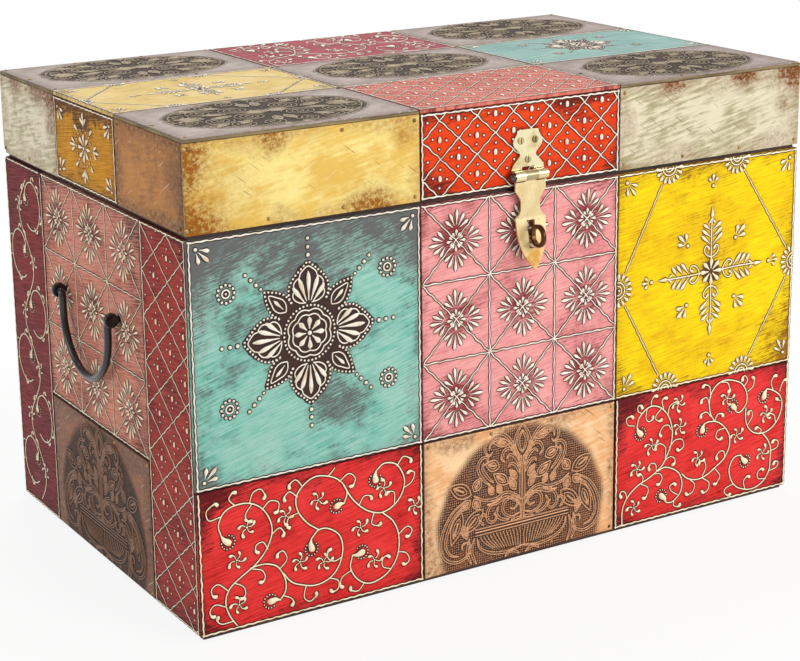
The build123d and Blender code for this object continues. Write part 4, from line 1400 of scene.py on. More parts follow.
@dataclass(frozen=True)
class SheetMetal:
    """Thin rolled sheet, pinned on wood and left to tarnish.

    It is bright and soft-edged in its reflections, scratched in all ways, and browned from its
    edges and corners inwards.

    metal and second are its two shades, and tarnish is its brown. ridge, ground and groove are the
    rubbed, the blackened and the deepest parts of its chasing. crest is the share of a ridge's
    height from which it is rubbed bright, and pearls is how bright the punch marks are. reach is
    how far in the edge is browned, in metres, and browned how strongly. crumple is how strong the
    strokes of its planishing are, spots are single stains, and seed moves the pattern.
    """

    name: str
    metal: str
    second: str
    tarnish: str
    ground: str = "#2c1a14"
    ridge: str = "#c98f66"
    groove: str = "#1f120d"
    crest: float = 0.25
    pearls: float = 0.75
    reach: float = 0.016
    browned: float = 0.8
    crumple: float = 0.3
    metallic: float = 0.55
    roughness: float = 0.36
    spots: tuple[Spot, ...] = ()
    seed: float = 0

    def material(self, tile: Tile) -> Material:
        """Builds the metal.

        Args:
            tile: the sheet it is for.

        Returns:
            The material.
        """
        material, node = new_material(f"{self.name}_{tile.node}")
        place = TilePlace(node, tile)
        moved = place.moved(self.seed)
        # Clouds of tarnish 50 mm across, a mottle of 6 mm and strokes 3 mm wide and 25 mm long.
        cloud = node("TexNoise", moved, 20.0, 5.0, 0.62)
        mottle = node("TexNoise", moved, 240.0, 6.0, 0.78)
        strokes = grain(node, moved, (40, 330, 1), 4.0, 0.62, 12)
        near = node("Math.MINIMUM", *place.margins())
        drift = node("Math.MULTIPLY_ADD", cloud, 5 * self.reach, -2.5 * self.reach)
        near = node("Math.ADD", near, drift)
        rim = node("MapRange", near, self.reach, 0.0, 0.0, self.browned)
        rim = node("Math.ADD", rim, place.spots(self.spots))
        brown = node("Math.MULTIPLY", rim, node("MapRange", mottle, 0.25, 0.75, 0.1, 1.2), use_clamp=True)
        tone = node("Math.MULTIPLY_ADD", strokes, self.crumple, node("Math.MULTIPLY", cloud, 1 - self.crumple))
        tone = node("MapRange", tone, 0.44, 0.6)
        base = node("Mix", tone, self.metal, self.second)
        base = node("Mix", brown, base, self.tarnish)
        # Scratches 0.3 mm wide and 30 mm long cross at two slopes: one lot is bright, one is dark.
        for turn, stretch, code, share in ((31, 900, "#f8efd6", 0.5), (-38, 700, self.tarnish, 0.75)):
            hair = grain(node, moved, (34, stretch, 1), 1.0, 0.5, turn)
            base = node("Mix", node("MapRange", hair, 0.7, 0.75, 0.0, share), base, code)
        # Chasing: a stippled ground of punch marks 2.1 mm apart, blackened, under rubbed ridges.
        ground, ridge, groove = (node("Attribute", attribute_name=name) for name in ("ground", "ridge", "groove"))
        pearl = node("MapRange", node("TexVoronoi", place.flat, 470.0, 0.2), 0.42, 0.16, 0.0, self.pearls)
        sunk = node("Mix", node("MapRange", cloud, 0.5, 0.68, 0.0, 0.6), self.ground, self.tarnish)
        sunk = node("Mix", pearl, sunk, self.ridge)
        sunk = node("Mix", node("Math.MULTIPLY", groove, 0.85), sunk, self.groove)
        base = node("Mix", ground, base, sunk)
        high = node("Math.MULTIPLY", node("MapRange", ridge, self.crest, self.crest + 0.5), ground)
        rubbed = node("Math.MULTIPLY", high, node("MapRange", mottle, 0.3, 0.6, 0.7, 1.0))
        base = node("Mix", rubbed, base, self.ridge)
        soft = node("Math.MULTIPLY_ADD", cloud, 3.0, node("Math.MULTIPLY", pearl, ground))
        soft = node("Math.MULTIPLY_ADD", strokes, 1.5 * self.crumple, soft)
        bump = node("Bump", soft, 0.0009, 0.5)
        dull = node("MapRange", mottle, 0.3, 0.7, self.roughness - 0.07, self.roughness + 0.14)
        # The blackened ground is matt, and the metal shows again where the ridges are rubbed.
        matt = node("Math.MULTIPLY", ground, node("Math.SUBTRACT", 1.0, rubbed))
        dull = node("Math.MULTIPLY_ADD", matt, 0.25, dull)
        bare = node("MapRange", matt, 0.0, 1.0, self.metallic, 0.1)
        finish_surface(node, base_color=base, metallic=bare, roughness=dull, normal=bump, specular_ior_level=0.3)
        return material


@dataclass(frozen=True)
class Fitting:
    """Cast or forged metal of the fittings: brass, blackened iron or steel.

    Its colour drifts to a second shade in clouds, and also downwards where fade gives the two
    heights in metres. shade_and_dirt_colour paints grime and shade into what is within crevice, in
    metres, of a corner, and half hides what stands above dull_above, in metres. shade_and_dirt_strength
    is how strong the painted shade and grime are, and coat its lacquer.
    """

    name: str
    colour: str
    second: str
    metallic: float
    roughness: float
    shade_and_dirt_colour: str = "#1d1310"
    shade_and_dirt_strength: float = 0.75
    crevice: float = 0.0025
    coat: float = 0
    fade: Pair | None = None
    dull_above: float | None = None

    def material(self) -> Material:
        """Builds the metal's finish.

        Returns:
            The material.
        """
        material, node = new_material(self.name)
        place = node("TexCoord")
        # Drifts 15 mm across, and rubbing of 3 mm.
        cloud = node("TexNoise", place, 65.0, 4.0, 0.5)
        rub = node("TexNoise", place, 300.0, 3.0, 0.5)
        shade = node("MapRange", cloud, 0.42, 0.66)
        high = node("SeparateXYZ", place, output=2)
        if self.fade:
            more = node("MapRange", high, *self.fade, 0.3, 1.3)
            shade = node("Math.MULTIPLY", shade, more, use_clamp=True)
            least = node("MapRange", high, *self.fade, 0.0, 0.6)
            shade = node("Math.MAXIMUM", shade, least)
        base = node("Mix", shade, self.colour, self.second)
        if self.dull_above:
            film = node("MapRange", high, self.dull_above, self.dull_above + 0.001, 0.0, 0.5)
            base = node("Mix", film, base, self.shade_and_dirt_colour)
        # Painted shade and grime: ambient occlusion darkens the colour within crevice of a corner.
        open_air = node("AmbientOcclusion", self.crevice, samples=8)
        dirt = node("MapRange", open_air, 0.86, 0.45, 0.0, self.shade_and_dirt_strength)
        base = node("Mix", dirt, base, self.shade_and_dirt_colour)
        dull = node("MapRange", rub, 0.3, 0.7, self.roughness - 0.03, self.roughness + 0.05)
        bump = node("Bump", cloud, 0.0006, 0.2)
        finish_surface(node, base_color=base, metallic=self.metallic, roughness=dull, normal=bump,
                       coat_weight=self.coat, coat_roughness=0.15)
        return material


@dataclass(frozen=True)
class CarcassWood:
    """Old mango board, stained dark and rubbed: long grain, paler where the edge is worn."""

    name: str
    colour: str
    second: str
    roughness: float = 0.62

    def material(self) -> Material:
        """Builds the wood, with grain 2.5 mm apart that runs along the boards.

        Returns:
            The material.
        """
        material, node = new_material(self.name)
        place = node("TexCoord")
        fibre = grain(node, place, (14, 30, 400), 6.0, 0.65)
        cloud = node("TexNoise", place, 22.0, 4.0, 0.5)
        shade = node("Math.MULTIPLY_ADD", cloud, 0.5, fibre)
        shade = node("MapRange", shade, 0.62, 0.92)
        base = node("Mix", shade, self.colour, self.second)
        bump = node("Bump", fibre, 0.0006, 0.5)
        dull = node("MapRange", cloud, 0.3, 0.7, self.roughness - 0.08, self.roughness + 0.1)
        finish_surface(node, base_color=base, roughness=dull, normal=bump)
        return material


# ---- chased metal


@dataclass
class Chasing:
    """A sheet hammered over pitch: raised lines on a sunk, stippled ground.

    The ground is an ellipse round (middle_u, middle_v), in millimetres from the tile's lower left
    corner, with half-axes half_u and half_v. rise is how high a line stands, belly how far the
    ellipse bulges in its middle, spacing the distance between the mesh's points, margin the gap to
    the tile's edge, and thickness how far the edge turns down.
    """

    drawing: Drawing
    width: float
    height: float
    middle_u: float
    middle_v: float
    half_u: float
    half_v: float
    rise: float = 0.95
    belly: float = 0.5
    spacing: float = 0.6
    margin: float = 0.4
    thickness: float = 0.7

    def raised(self, rows: Array, columns: Array) -> tuple[Array, Array]:
        """Works out how high the lines stand and how near the next one is, at each place of the grid.

        Near a line of half-width w the height is 1 - (distance / (w + 0.3))^2, never under 0, and
        where lines meet the higher one counts. The nearness falls from 1 at 0.4 mm outside a line
        to 0 at 1.3 mm.

        Args:
            rows: the grid's places along v.
            columns: the grid's places along u.

        Returns:
            The height and the nearness, each 0 to 1, by column and row.
        """
        field_height = np.zeros((len(columns), len(rows)))
        outside = np.full_like(field_height, 9.0)
        places, halves = [], []
        for path, widths in self.drawing.lines:
            finer = even_path(path, 0.45)
            share = np.linspace(0, 1, len(finer))
            places.append(finer)
            halves.append(np.interp(share, np.linspace(0, 1, len(widths)), widths))
        for u, v, radius in self.drawing.dots:
            places.append(np.array([[u, v]]))
            halves.append(np.array([radius]))
        place, half = np.concatenate(places), np.concatenate(halves)
        step_u, step_v = columns[1] - columns[0], rows[1] - rows[0]
        near_u = np.round((place[:, 0] - columns[0]) / step_u).astype(int)
        near_v = np.round((place[:, 1] - rows[0]) / step_v).astype(int)
        reach = int(np.ceil((half.max() + 1.3) / min(step_u, step_v)))
        for i in range(-reach, reach + 1):
            for j in range(-reach, reach + 1):
                a, b = near_u + i, near_v + j
                good = (a >= 0) & (a < len(columns)) & (b >= 0) & (b < len(rows))
                a, b = a[good], b[good]
                gap = np.hypot(columns[a] - place[good, 0], rows[b] - place[good, 1])
                rise = np.clip(1 - (gap / (half[good] + 0.3)) ** 2, 0, 1)
                np.maximum.at(field_height, (a, b), rise)
                np.minimum.at(outside, (a, b), gap - half[good])
        return field_height, np.clip((1.3 - outside) / 0.9, 0, 1)

    def hammer(self, name: str, tile: Tile, looks: Material) -> None:
        """Builds the sheet: a grid whose height is belly + raised lines + stipple, over its edges and back.

        The ground mark is a smooth step of the ellipse's radius, blurred by a fine sine pattern, so
        that the punch marks thin out. The belly is the ellipse's cap, 1 - radius squared. The sheet
        lies 0.2 mm up, punch marks are 0.1 mm deep and 2.1 mm apart, and beside a line the ground is
        0.14 mm lower.

        Args:
            name: the piece's name.
            tile: the tile it covers and replaces.
            looks: its metal.
        """
        columns = np.linspace(self.margin, self.width - self.margin,
                              int((self.width - 2 * self.margin) / self.spacing) + 1)
        rows = np.linspace(self.margin, self.height - self.margin,
                           int((self.height - 2 * self.margin) / self.spacing) + 1)
        u, v = np.meshgrid(columns, rows, indexing="ij")
        radius = np.hypot((u - self.middle_u) / self.half_u, (v - self.middle_v) / self.half_v)
        ragged = 0.02 * np.sin(u * 2.9) * np.sin(v * 2.9) + 0.012 * np.sin(u / 9) * np.cos(v / 7)
        ground = np.clip((1.0 - radius + ragged) / 0.09, 0, 1)
        ground = ground * ground * (3 - 2 * ground)
        lines, near = self.raised(rows, columns)
        lines = lines * np.clip((1.0 - radius) / 0.03, 0, 1)
        hills = self.belly * np.clip(1 - radius**2, 0, 1)
        punched = 0.1 * ground * (1 - lines) * np.cos(u * 2.99) * np.cos(v * 2.99)
        height = 0.2 + hills + self.rise * lines + punched - 0.14 * near * ground
        height[[0, -1]] = height[:, [0, -1]] = -self.thickness
        points = np.stack([u + tile.u0, v + tile.v0, height], axis=-1).reshape(-1, 3)
        numbers = np.arange(len(points)).reshape(len(columns), len(rows))
        rim = np.concatenate([numbers[:-1, 0], numbers[-1, :-1], numbers[:0:-1, -1], numbers[0, :0:-1]])
        faces = [grid_faces(len(columns), len(rows)), rim[None, ::-1]]
        piece = make_piece(name, tile.face.to_space(points), faces, looks, tile.body,
                           {"ground": ground, "ridge": lines, "groove": near * (1 - lines)})
        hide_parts(tile.node)


def both_halves(half: Drawing) -> Drawing:
    """A drawing and its mirror image about u = 0."""
    return Drawing().put(half).put(half, scale=(-1.0, 1.0))


def spiral(x: float, y: float, reach: float, turns: float, start: float, hand: int, half: float,
           core: float) -> Drawing:
    """Draws a scroll round (x, y), whose radius falls evenly over its turns.

    Args:
        x, y: its middle.
        reach: its first radius.
        turns: how many turns it has.
        start: where it starts, in degrees from u.
        hand: 1 or -1, the way that it turns.
        half: its half-width.
        core: its last radius.

    Returns:
        The drawing.
    """
    angle = np.linspace(0, 2 * np.pi * turns, max(int(20 * turns), 12))
    radius = reach + (core - reach) * angle / angle[-1]
    way = math.radians(start) + hand * angle
    return Drawing().line(round_path(radius, way) + (x, y), half, step=1.2)


def ribbon(drawing: Drawing, path: Sequence[Pair], apart: float, half: float) -> None:
    """Draws a path as two lines that meet at its ends, each moved sideways along the path's normal.

    Args:
        drawing: the drawing to add to.
        path: the places that it passes.
        apart: how far each line is moved.
        half: their half-width.
    """
    middle = smooth_path(np.array(path, float), 1.2)
    way = np.gradient(middle, axis=0)
    way /= np.linalg.norm(way, axis=1)[:, None]
    across = np.stack([-way[:, 1], way[:, 0]], axis=1)
    swell = apart * np.sin(np.pi * np.linspace(0, 1, len(middle)))[:, None] ** 0.4
    for side in (-1, 1):
        drawing.line(middle + side * swell * across, half, step=1.2)


def leaf(x: float, y: float, turn: float, length: float, half_width: float, boss: float = 1.1) -> Drawing:
    """Draws a pointed leaf with a double outline and a raised boss.

    Args:
        x, y: where it starts.
        turn: the way it points, in degrees from u.
        length: its length.
        half_width: half its width.
        boss: the boss's largest half-width.

    Returns:
        The drawing.
    """
    t = np.linspace(0, 1, 9)
    side = half_width * np.sin(np.pi * t**0.85)
    edge = np.concatenate([np.stack([length * t, side], axis=1), np.stack([length * t, -side], axis=1)[-2::-1]])
    inner = (edge - (length / 2, 0)) * (0.62, 0.55) + (length / 2, 0)
    shape = Drawing().line(edge, 0.55, step=1.2).line(inner, 0.4)
    shape.line([(0.35 * length, 0), (0.7 * length, 0)], min(boss, 0.28 * half_width))
    return Drawing().put(shape, x, y, 1, turn)


def vase_of_flowers(width: float, height: float) -> Chasing:
    """Chases a planter and its bouquet: the right half is drawn round u = 0, and mirrored.

    Args:
        width, height: the sheet's size.

    Returns:
        The chasing.
    """
    half = Drawing()
    # Each outline is the u and v of its points by turns.
    outlines = [
        (1.2, 92, 1.6, 60, 1.2, 34), (0, 121, 6, 112, 8, 103, 5, 95, 1, 90), (0, 115, 4, 107, 2.5, 99, 0, 95),
        (4, 92, 8, 101, 13, 109, 20, 115, 29, 116, 37, 110, 38.5, 103, 34, 98, 31, 101),
        (7, 93, 11, 101, 17, 108, 25, 111.5, 33, 108, 34, 103),
        (3, 88, 8, 97, 14, 101, 19, 99.5, 21.5, 93, 18, 89), (2.5, 82, 7, 91, 13, 95, 16.5, 92),
        (2.5, 76, 7, 84, 12, 87, 15, 84), (33, 71, 38, 75, 44, 83, 46, 91, 42, 97, 36.5, 97, 36, 92.5, 39, 91),
        (30, 73, 36, 79, 41, 87, 40, 93), (1.5, 52, 8, 58, 18, 61.5, 27, 58, 40, 59, 50, 65),
        (1.5, 46, 7, 52, 17, 57, 27, 53.5, 37, 54),
        (58, 63, 72, 54, 81, 40, 84, 25, 79, 13, 68, 8, 58, 11, 54, 18, 56, 23.5, 62, 23, 62, 18),
        (60, 59, 71, 49, 77, 37, 79, 25, 74, 16, 66, 13),
        (22, 58, 30, 55, 36, 48, 36, 40, 31, 37, 27, 41, 30, 45),
        (3, 40, 12, 38, 20, 44, 19, 53, 11, 56, 5, 51, 8, 45, 13, 46), (14, 36, 22, 38, 27, 44, 25, 50),
        (1.5, 36, 6, 35, 12, 34.5), (40, 36, 44, 41, 41, 46, 37, 43), (50, 26, 52.5, 14, 48, 2),
        (55, 27, 57, 14, 53, 3), (47, 25, 44, 16, 33, 9, 16, 6.5, 0, 9), (3, 2, 9, 5.5, 15, 5, 18, 2),
    ]
    for outline in outlines:
        ribbon(half, np.reshape(outline, (-1, 2)), 1.05, 0.42)
    for level in (33.5, 30.8, 28):
        half.line([(0, level), (25, level), (49, level)], 0.5)
    for root in np.arange(3, 46, 3.4):
        half.line([(root, 26), (root * 0.93 - 1, 20), (root * 0.7, 10 + 0.06 * root)], 0.42)
    for x, y, turn, length, wide in (
        (13, 105.5, 12, 18, 3.4), (24, 86, 20, 15, 5), (15, 69, 38, 19, 4.6), (53, 66.5, 28, 25, 6.5),
        (50, 69, 122, 13, 4.5), (50, 62, 245, 12, 4), (54, 62, 318, 12, 3.8), (41, 51, 318, 29, 6.4),
        (63, 53, 290, 30, 5.6), (22, 62, 60, 9, 2.8), (7, 62, 62, 14, 3.2), (6, 72, 52, 12, 3),
        (31, 62, 70, 10, 3), (62, 40, 250, 14, 3.4),
    ):
        half.put(leaf(x, y, turn, length, wide))
    # The bouquet's own size is for a sheet of 200 by 122 mm.
    drawing = Drawing().put(both_halves(half), width / 2, 0, (width / 200, height / 122))
    return Chasing(drawing, width, height, width / 2, 35, 0.455 * width, 0.72 * height)


def scrolled_oval(width: float, height: float) -> Chasing:
    """Chases an oval with scrolls and leaves in four mirrored quarters.

    Args:
        width, height: the sheet's size.

    Returns:
        The chasing.
    """
    quarter = Drawing()
    for x, y, reach, start, hand in (
        (17, 13, 11.5, 200, 1), (40, 16, 10, 180, -1), (30, 34, 9.5, 230, 1), (57, 11, 8, 170, 1),
        (12, 37, 8.5, 250, -1), (50, 30, 7, 210, 1), (5, 25, 5, 60, 1), (63, 24, 4, 30, -1),
        (43, 40, 5, 120, 1), (68, 4, 4, 20, 1),
    ):
        # The turns of a scroll are 3.4 mm apart, which leaves ground between them.
        quarter.put(spiral(x, y, reach, (reach - 1.2) / 3.4, start, hand, 0.42, 1.2))
    for x, y, turn, length, wide in (
        (0, 2, 0, 14, 3), (26, 4, 12, 16, 3), (3, 20, 80, 14, 3), (22, 24, 40, 13, 3), (44, 2, 5, 18, 3.2),
        (38, 26, 30, 12, 2.8), (5, 44, 60, 7, 2),
    ):
        quarter.put(leaf(x, y, turn, length, wide, 0.5))
    # The quarter's own size is for an oval with half-axes of 72 and 52 mm.
    for reach in (0.9, 0.955):
        quarter.line(round_path(1, np.radians(np.linspace(0, 90, 24))) * (72 * reach, 52 * reach), 0.36)
    whole = both_halves(quarter)
    half = (0.44 * width, 0.475 * height)
    drawing = Drawing()
    for hand in (1, -1):
        drawing.put(whole, width / 2, height / 2, (half[0] / 72, hand * half[1] / 52))
    return Chasing(drawing.thinned(0.92), width, height, width / 2, height / 2, *half, spacing=0.68)


# ---- sub-assemblies


def dress(node: bpy.types.Object, looks: Material) -> None:
    """Gives a CAD node its finish, in every slot that it has.

    Args:
        node: the CAD node.
        looks: its material.
    """
    if not node.data.materials:
        node.data.materials.append(looks)
    for k in range(len(node.data.materials)):
        node.data.materials[k] = looks


@dataclass(frozen=True)
class PaintedTile:
    """A painted tile: its CAD node, its paint, the drawing on it and the sides that carry a border.

    paste is its own colour of paste, if any, and worn is how far, in millimetres, the border is
    rubbed away from the upper corners.
    """

    node: str
    slot: str
    paint: DistressedPaint
    draw: Callable[[float, float], Drawing]
    sides: Sequence[Side] = tuple(Side)
    paste: PastePaint | None = None
    worn: float = 1.0


@dataclass(frozen=True)
class MetalSheet:
    """A sheet-metal tile: its CAD node, its metal and the chasing on it, if any."""

    node: str
    slot: str
    metal: SheetMetal
    chasing: Callable[[float, float], Chasing] | None = None


@dataclass
class Facing:
    """All the tiles of one face of the body or of the lid. bold is how thick its paste-work is."""

    name: str
    face: Face
    body: str
    painted: Sequence[PaintedTile]
    sheets: Sequence[MetalSheet]
    paste: PastePaint
    bold: float = 1.0

    def build(self, nodes: dict[str, bpy.types.Object]) -> None:
        """Dresses every tile of the face and lays its paste-work and chasing on it.

        Args:
            nodes: the CAD nodes by name.
        """
        for part in self.painted:
            tile = Tile.of(part.node, self.face, self.body, part.slot)
            dress(nodes[part.node], part.paint.material(tile))
            drawing = border(part.draw(tile.width, tile.height), tile, part.sides, part.worn).thinned(self.bold)
            looks = part.paste or self.paste
            ready = bpy.data.materials.get(looks.name) or looks.material()
            Paste().squeeze(f"{part.node}_paste", tile, drawing, ready)
        for part in self.sheets:
            tile = Tile.of(part.node, self.face, self.body, part.slot)
            looks = part.metal.material(tile)
            dress(nodes[part.node], looks)
            if part.chasing:
                part.chasing(tile.width, tile.height).hammer(f"{part.node}_chasing", tile, looks)
        LOG.info("%s: %d painted tiles, %d sheets", self.name, len(self.painted), len(self.sheets))


@dataclass
class Fittings:
    """Boards, hinges, hasp, handles and tacks: CAD nodes that keep their shape and get a finish."""

    finishes: dict[str, Fitting | CarcassWood]

    def dress(self, nodes: dict[str, bpy.types.Object]) -> None:
        """Gives each named node its finish. A key names every node that starts with it.

        Args:
            nodes: the CAD nodes by name.
        """
        for start, finish in self.finishes.items():
            looks = bpy.data.materials.get(finish.name) or finish.material()
            for name, node in nodes.items():
                if name.startswith(start):
                    dress(node, looks)
                    LOG.info("%s: %s", name, finish.name)


@dataclass
class Studio:
    """White floor, soft lamps and the camera: its place in metres, its angles in degrees and its lens.

    drop is how far the frame is shifted down, as a share of its width.
    """

    place: tuple[float, float, float] = (-0.9232, -1.5176, 0.7002)
    azimuth: float = -31.2752
    elevation: float = 14.6705
    roll: float = -0.7172
    lens: float = 89.95
    drop: float = 0.1

    def build_floor(self) -> None:
        """Lays a floor 14 m across, which fades to plain white away from the chest's shadow."""
        mesh = bpy.data.meshes.new("floor")
        # It lies half a millimetre under the chest.
        mesh.from_pydata([(x, y, -0.0005) for x, y in ((-7, -7), (7, -7), (7, 7), (-7, 7))], [], [(0, 1, 2, 3)])
        material, node = new_material("white_paper")
        away = node("VectorMath.LENGTH", node("NewGeometry", output="Position"), output="Value")
        fade = node("MapRange", away, 0.38, 0.8, 0.88, 1.0)
        rays = node("LightPath").node.outputs
        seen = node("Math.MAXIMUM", rays["Is Camera Ray"], rays["Is Glossy Ray"])
        shown = node("Math.MULTIPLY", seen, fade)
        paper = node("BsdfDiffuse", "#f1f0ee")
        white = node("Emission", (1, 1, 1, 1), 1.0)
        node("OutputMaterial", node("MixShader", shown, paper, white))
        mesh.materials.append(material)
        floor = bpy.data.objects.new("floor", mesh)
        bpy.context.scene.collection.objects.link(floor)

    def build_lamp(self, name: str, place: tuple[float, float, float], size: float, power: float) -> None:
        """Hangs a square, white, soft lamp that faces the chest.

        Args:
            name: the lamp's name.
            place: its place in metres.
            size: its side in metres.
            power: its power in watts.
        """
        data = bpy.data.lights.new(name, "AREA")
        data.size, data.energy = size, power
        lamp = bpy.data.objects.new(name, data)
        spot = np.array(place)
        way = np.array([0, 0, 0.2]) - spot
        back = -way / np.linalg.norm(way)
        right = np.cross([0, 0, 1], back)
        right /= np.linalg.norm(right)
        turn = np.eye(4)
        turn[:3, :3] = np.stack([right, np.cross(back, right), back], axis=1)
        turn[:3, 3] = spot
        lamp.matrix_world = Matrix(turn.tolist())
        bpy.context.scene.collection.objects.link(lamp)

    def build_world(self) -> None:
        """Surrounds the scene with even light, and shows white to the camera and in reflections."""
        world = bpy.data.worlds.new("white_room")
        world.use_nodes = True
        world.node_tree.nodes.clear()
        node = partial(add, world.node_tree)
        rays = node("LightPath").node.outputs
        seen = node("Math.MAXIMUM", rays["Is Camera Ray"], rays["Is Transmission Ray"])
        room = node("Background", "#fbfaf8", 0.5)
        white = node("Background", (1, 1, 1, 1), 1.0)
        node("OutputWorld", node("MixShader", seen, room, white))
        bpy.context.scene.world = world

    def build_camera(self) -> None:
        """Sets the camera from its place, azimuth, elevation and roll."""
        azimuth, elevation, roll = np.radians([self.azimuth, self.elevation, self.roll])
        ahead = np.array([-np.sin(azimuth) * np.cos(elevation), np.cos(azimuth) * np.cos(elevation),
                          -np.sin(elevation)])
        side = np.array([np.cos(azimuth), np.sin(azimuth), 0])
        up = np.cross(side, ahead)
        right = np.cos(roll) * side + np.sin(roll) * up
        top = -np.sin(roll) * side + np.cos(roll) * up
        turn = np.eye(4)
        turn[:3, :3] = np.stack([right, top, -ahead], axis=1)
        turn[:3, 3] = self.place
        data = bpy.data.cameras.new("camera")
        data.lens, data.sensor_width, data.shift_y = self.lens, 36, -self.drop
        camera = bpy.data.objects.new("camera", data)
        camera.matrix_world = Matrix(turn.tolist())
        bpy.context.scene.collection.objects.link(camera)
        bpy.context.scene.camera = camera

    def build(self) -> None:
        """Builds the floor, the world, the lamps and the camera."""
        self.build_floor()
        self.build_world()
        self.build_lamp("front_lamp", (1.1, -2.5, 1.5), 1.6, 42)
        self.build_lamp("right_lamp", (2.3, -1.5, 1.3), 0.6, 13)
        self.build_lamp("high_lamp", (0.4, 1.3, 2.4), 1.6, 28)
        self.build_lamp("left_lamp", (-2.4, 0.3, 1.3), 1.2, 13)
        self.build_camera()
        bpy.context.scene.view_settings.view_transform = "Standard"


# ---- the chest


def paints() -> dict[str, DistressedPaint]:
    """Mixes the chest's paints.

    Returns:
        The paints by the tile's colour.
    """
    pale = {"streak": 0.35, "edge": 0.4, "stain": 0.2}
    return {
        "turquoise": DistressedPaint(
            "turquoise_emulsion", "#9ecabc", "#66b6a4", "#625a5c", 0.9, 0.4, 0.6, stain=0.5, top=46, tilt=-0.12,
            lean=15, seed=1.1, halo=(1, 1, 0.5, 0.56, 66, 0.7),
            spots=((0.05, 0.8, 60, 0.7), (0.62, 0.3, 45, 0.3))),
        "pink": DistressedPaint(
            "pink_emulsion", "#f4aba8", "#e08a8c", "#7a1c20", 0.5, 0.45, 0.4, stain=0.5,
            halo=(3, 3, 0.5, 0.5, 27, 1.0), seed=2.3),
        "yellow": DistressedPaint(
            "yellow_emulsion", "#f7da00", "#e6b400", "#7a4310", 0.4, 0.5, 0.4, stain=0.3,
            halo=(1, 1, 0.517, 0.5, 30, 0.9), spots=((1, 0.1, 80, 0.8), (1, 0.6, 40, 0.5), (0.45, 1, 60, 0.5)),
            seed=3.1),
        "red": DistressedPaint(
            "red_emulsion", "#ea3c3b", "#cc2422", "#43090f", 0.45, 0.7, 0.8, 0.6, 0.45, seed=4.7),
        # The ends' red is a darker copy of the front red: painted shade on the ends.
        "end_red": DistressedPaint("end_red_emulsion", "#ac3226", "#84201c", "#2c0d12", seed=5.9),
        "vine_red": DistressedPaint(
            "dark_red_emulsion", "#861c20", "#62141a", "#2a0e14", 0.4, stain=0.2, seed=6.1),
        "end_rose": DistressedPaint(
            "old_rose_emulsion", "#d8917c", "#b06656", "#4a2224", 0.7, stain=0.4,
            halo=(3, 3, 0.5, 0.5, 27, 0.6), seed=7.7),
        "ochre": DistressedPaint("ochre_emulsion", "#d8960a", "#b47806", "#4c2a10", 0.6, top=14, seed=8.3),
        "orange_red": DistressedPaint(
            "orange_red_emulsion", "#f24a0a", "#d83208", "#4c140c", 0.4, 0.6, stain=0.4,
            spots=((0.75, 1, 45, 1.0), (0.1, 0.1, 30, 0.6)), seed=9.1),
        "coral": DistressedPaint("coral_emulsion", "#e28678", "#cc685c", "#6e2f28", **pale, seed=10.7),
        "rose": DistressedPaint("rose_emulsion", "#b85c64", "#9c4450", "#5a2028", **pale, seed=11.3),
        "pale_yellow": DistressedPaint(
            "pale_yellow_emulsion", "#ecd396", "#dcbc6c", "#7a6038", **pale, seed=12.9),
        "pale_turquoise": DistressedPaint(
            "pale_turquoise_emulsion", "#a2c2ba", "#82aaa4", "#55605e", **pale, seed=13.3),
    }


def metals() -> dict[str, SheetMetal]:
    """Rolls the chest's sheet metals.

    Returns:
        The metals by the sheet's kind.
    """
    return {
        "copper": SheetMetal(
            "copper_sheet", "#ffd8a8", "#ecae76", "#8a4a20", "#4a2a1e", "#dca47a", metallic=0.42, seed=0.4),
        # The ends' copper is a darker copy of the front copper, which is the lit copy: painted shade on the ends.
        "end_copper": SheetMetal(
            "dark_copper_sheet", "#8c5430", "#6c3e22", "#3c241a", "#241613", "#94705a", browned=0.7, seed=1.4),
        "brass": SheetMetal(
            "brass_sheet", "#f6e08e", "#e4bc5c", "#9a5c14", browned=0.6, spots=((0.02, 0.1, 36, 1.1),
            (0.02, 0.8, 30, 0.9), (0.12, 0.4, 60, 0.4), (0.78, 0.0, 34, 0.9), (0.93, 0.8, 18, 0.8),
            (0.36, 1, 22, 0.8)), seed=2.4),
        # The lid ends' brass is a darker copy of the front brass: painted shade on the ends.
        "end_brass": SheetMetal(
            "dark_brass_sheet", "#bc7c30", "#965e22", "#5c3614", browned=0.9, spots=((1, 0.5, 50, 0.8),),
            seed=3.4),
        "white_metal": SheetMetal(
            "white_metal_sheet", "#e2d9bc", "#ab9f7b", "#7c4418", browned=0.5, crumple=0.5,
            spots=((0.28, 1, 20, 1.0), (0.68, 1, 24, 1.2), (0.97, 1, 34, 1.3), (0.9, 0.55, 14, 0.8),
            (0.02, 0, 12, 0.6)), seed=4.4),
        "lid_metal": SheetMetal(
            "bronzed_white_metal", "#bcaea8", "#a09088", "#5f4a3c", "#33271d", "#b8a88f", crest=0.42,
            pearls=0.3, browned=0.55, metallic=0.45, roughness=0.44, seed=5.4),
    }


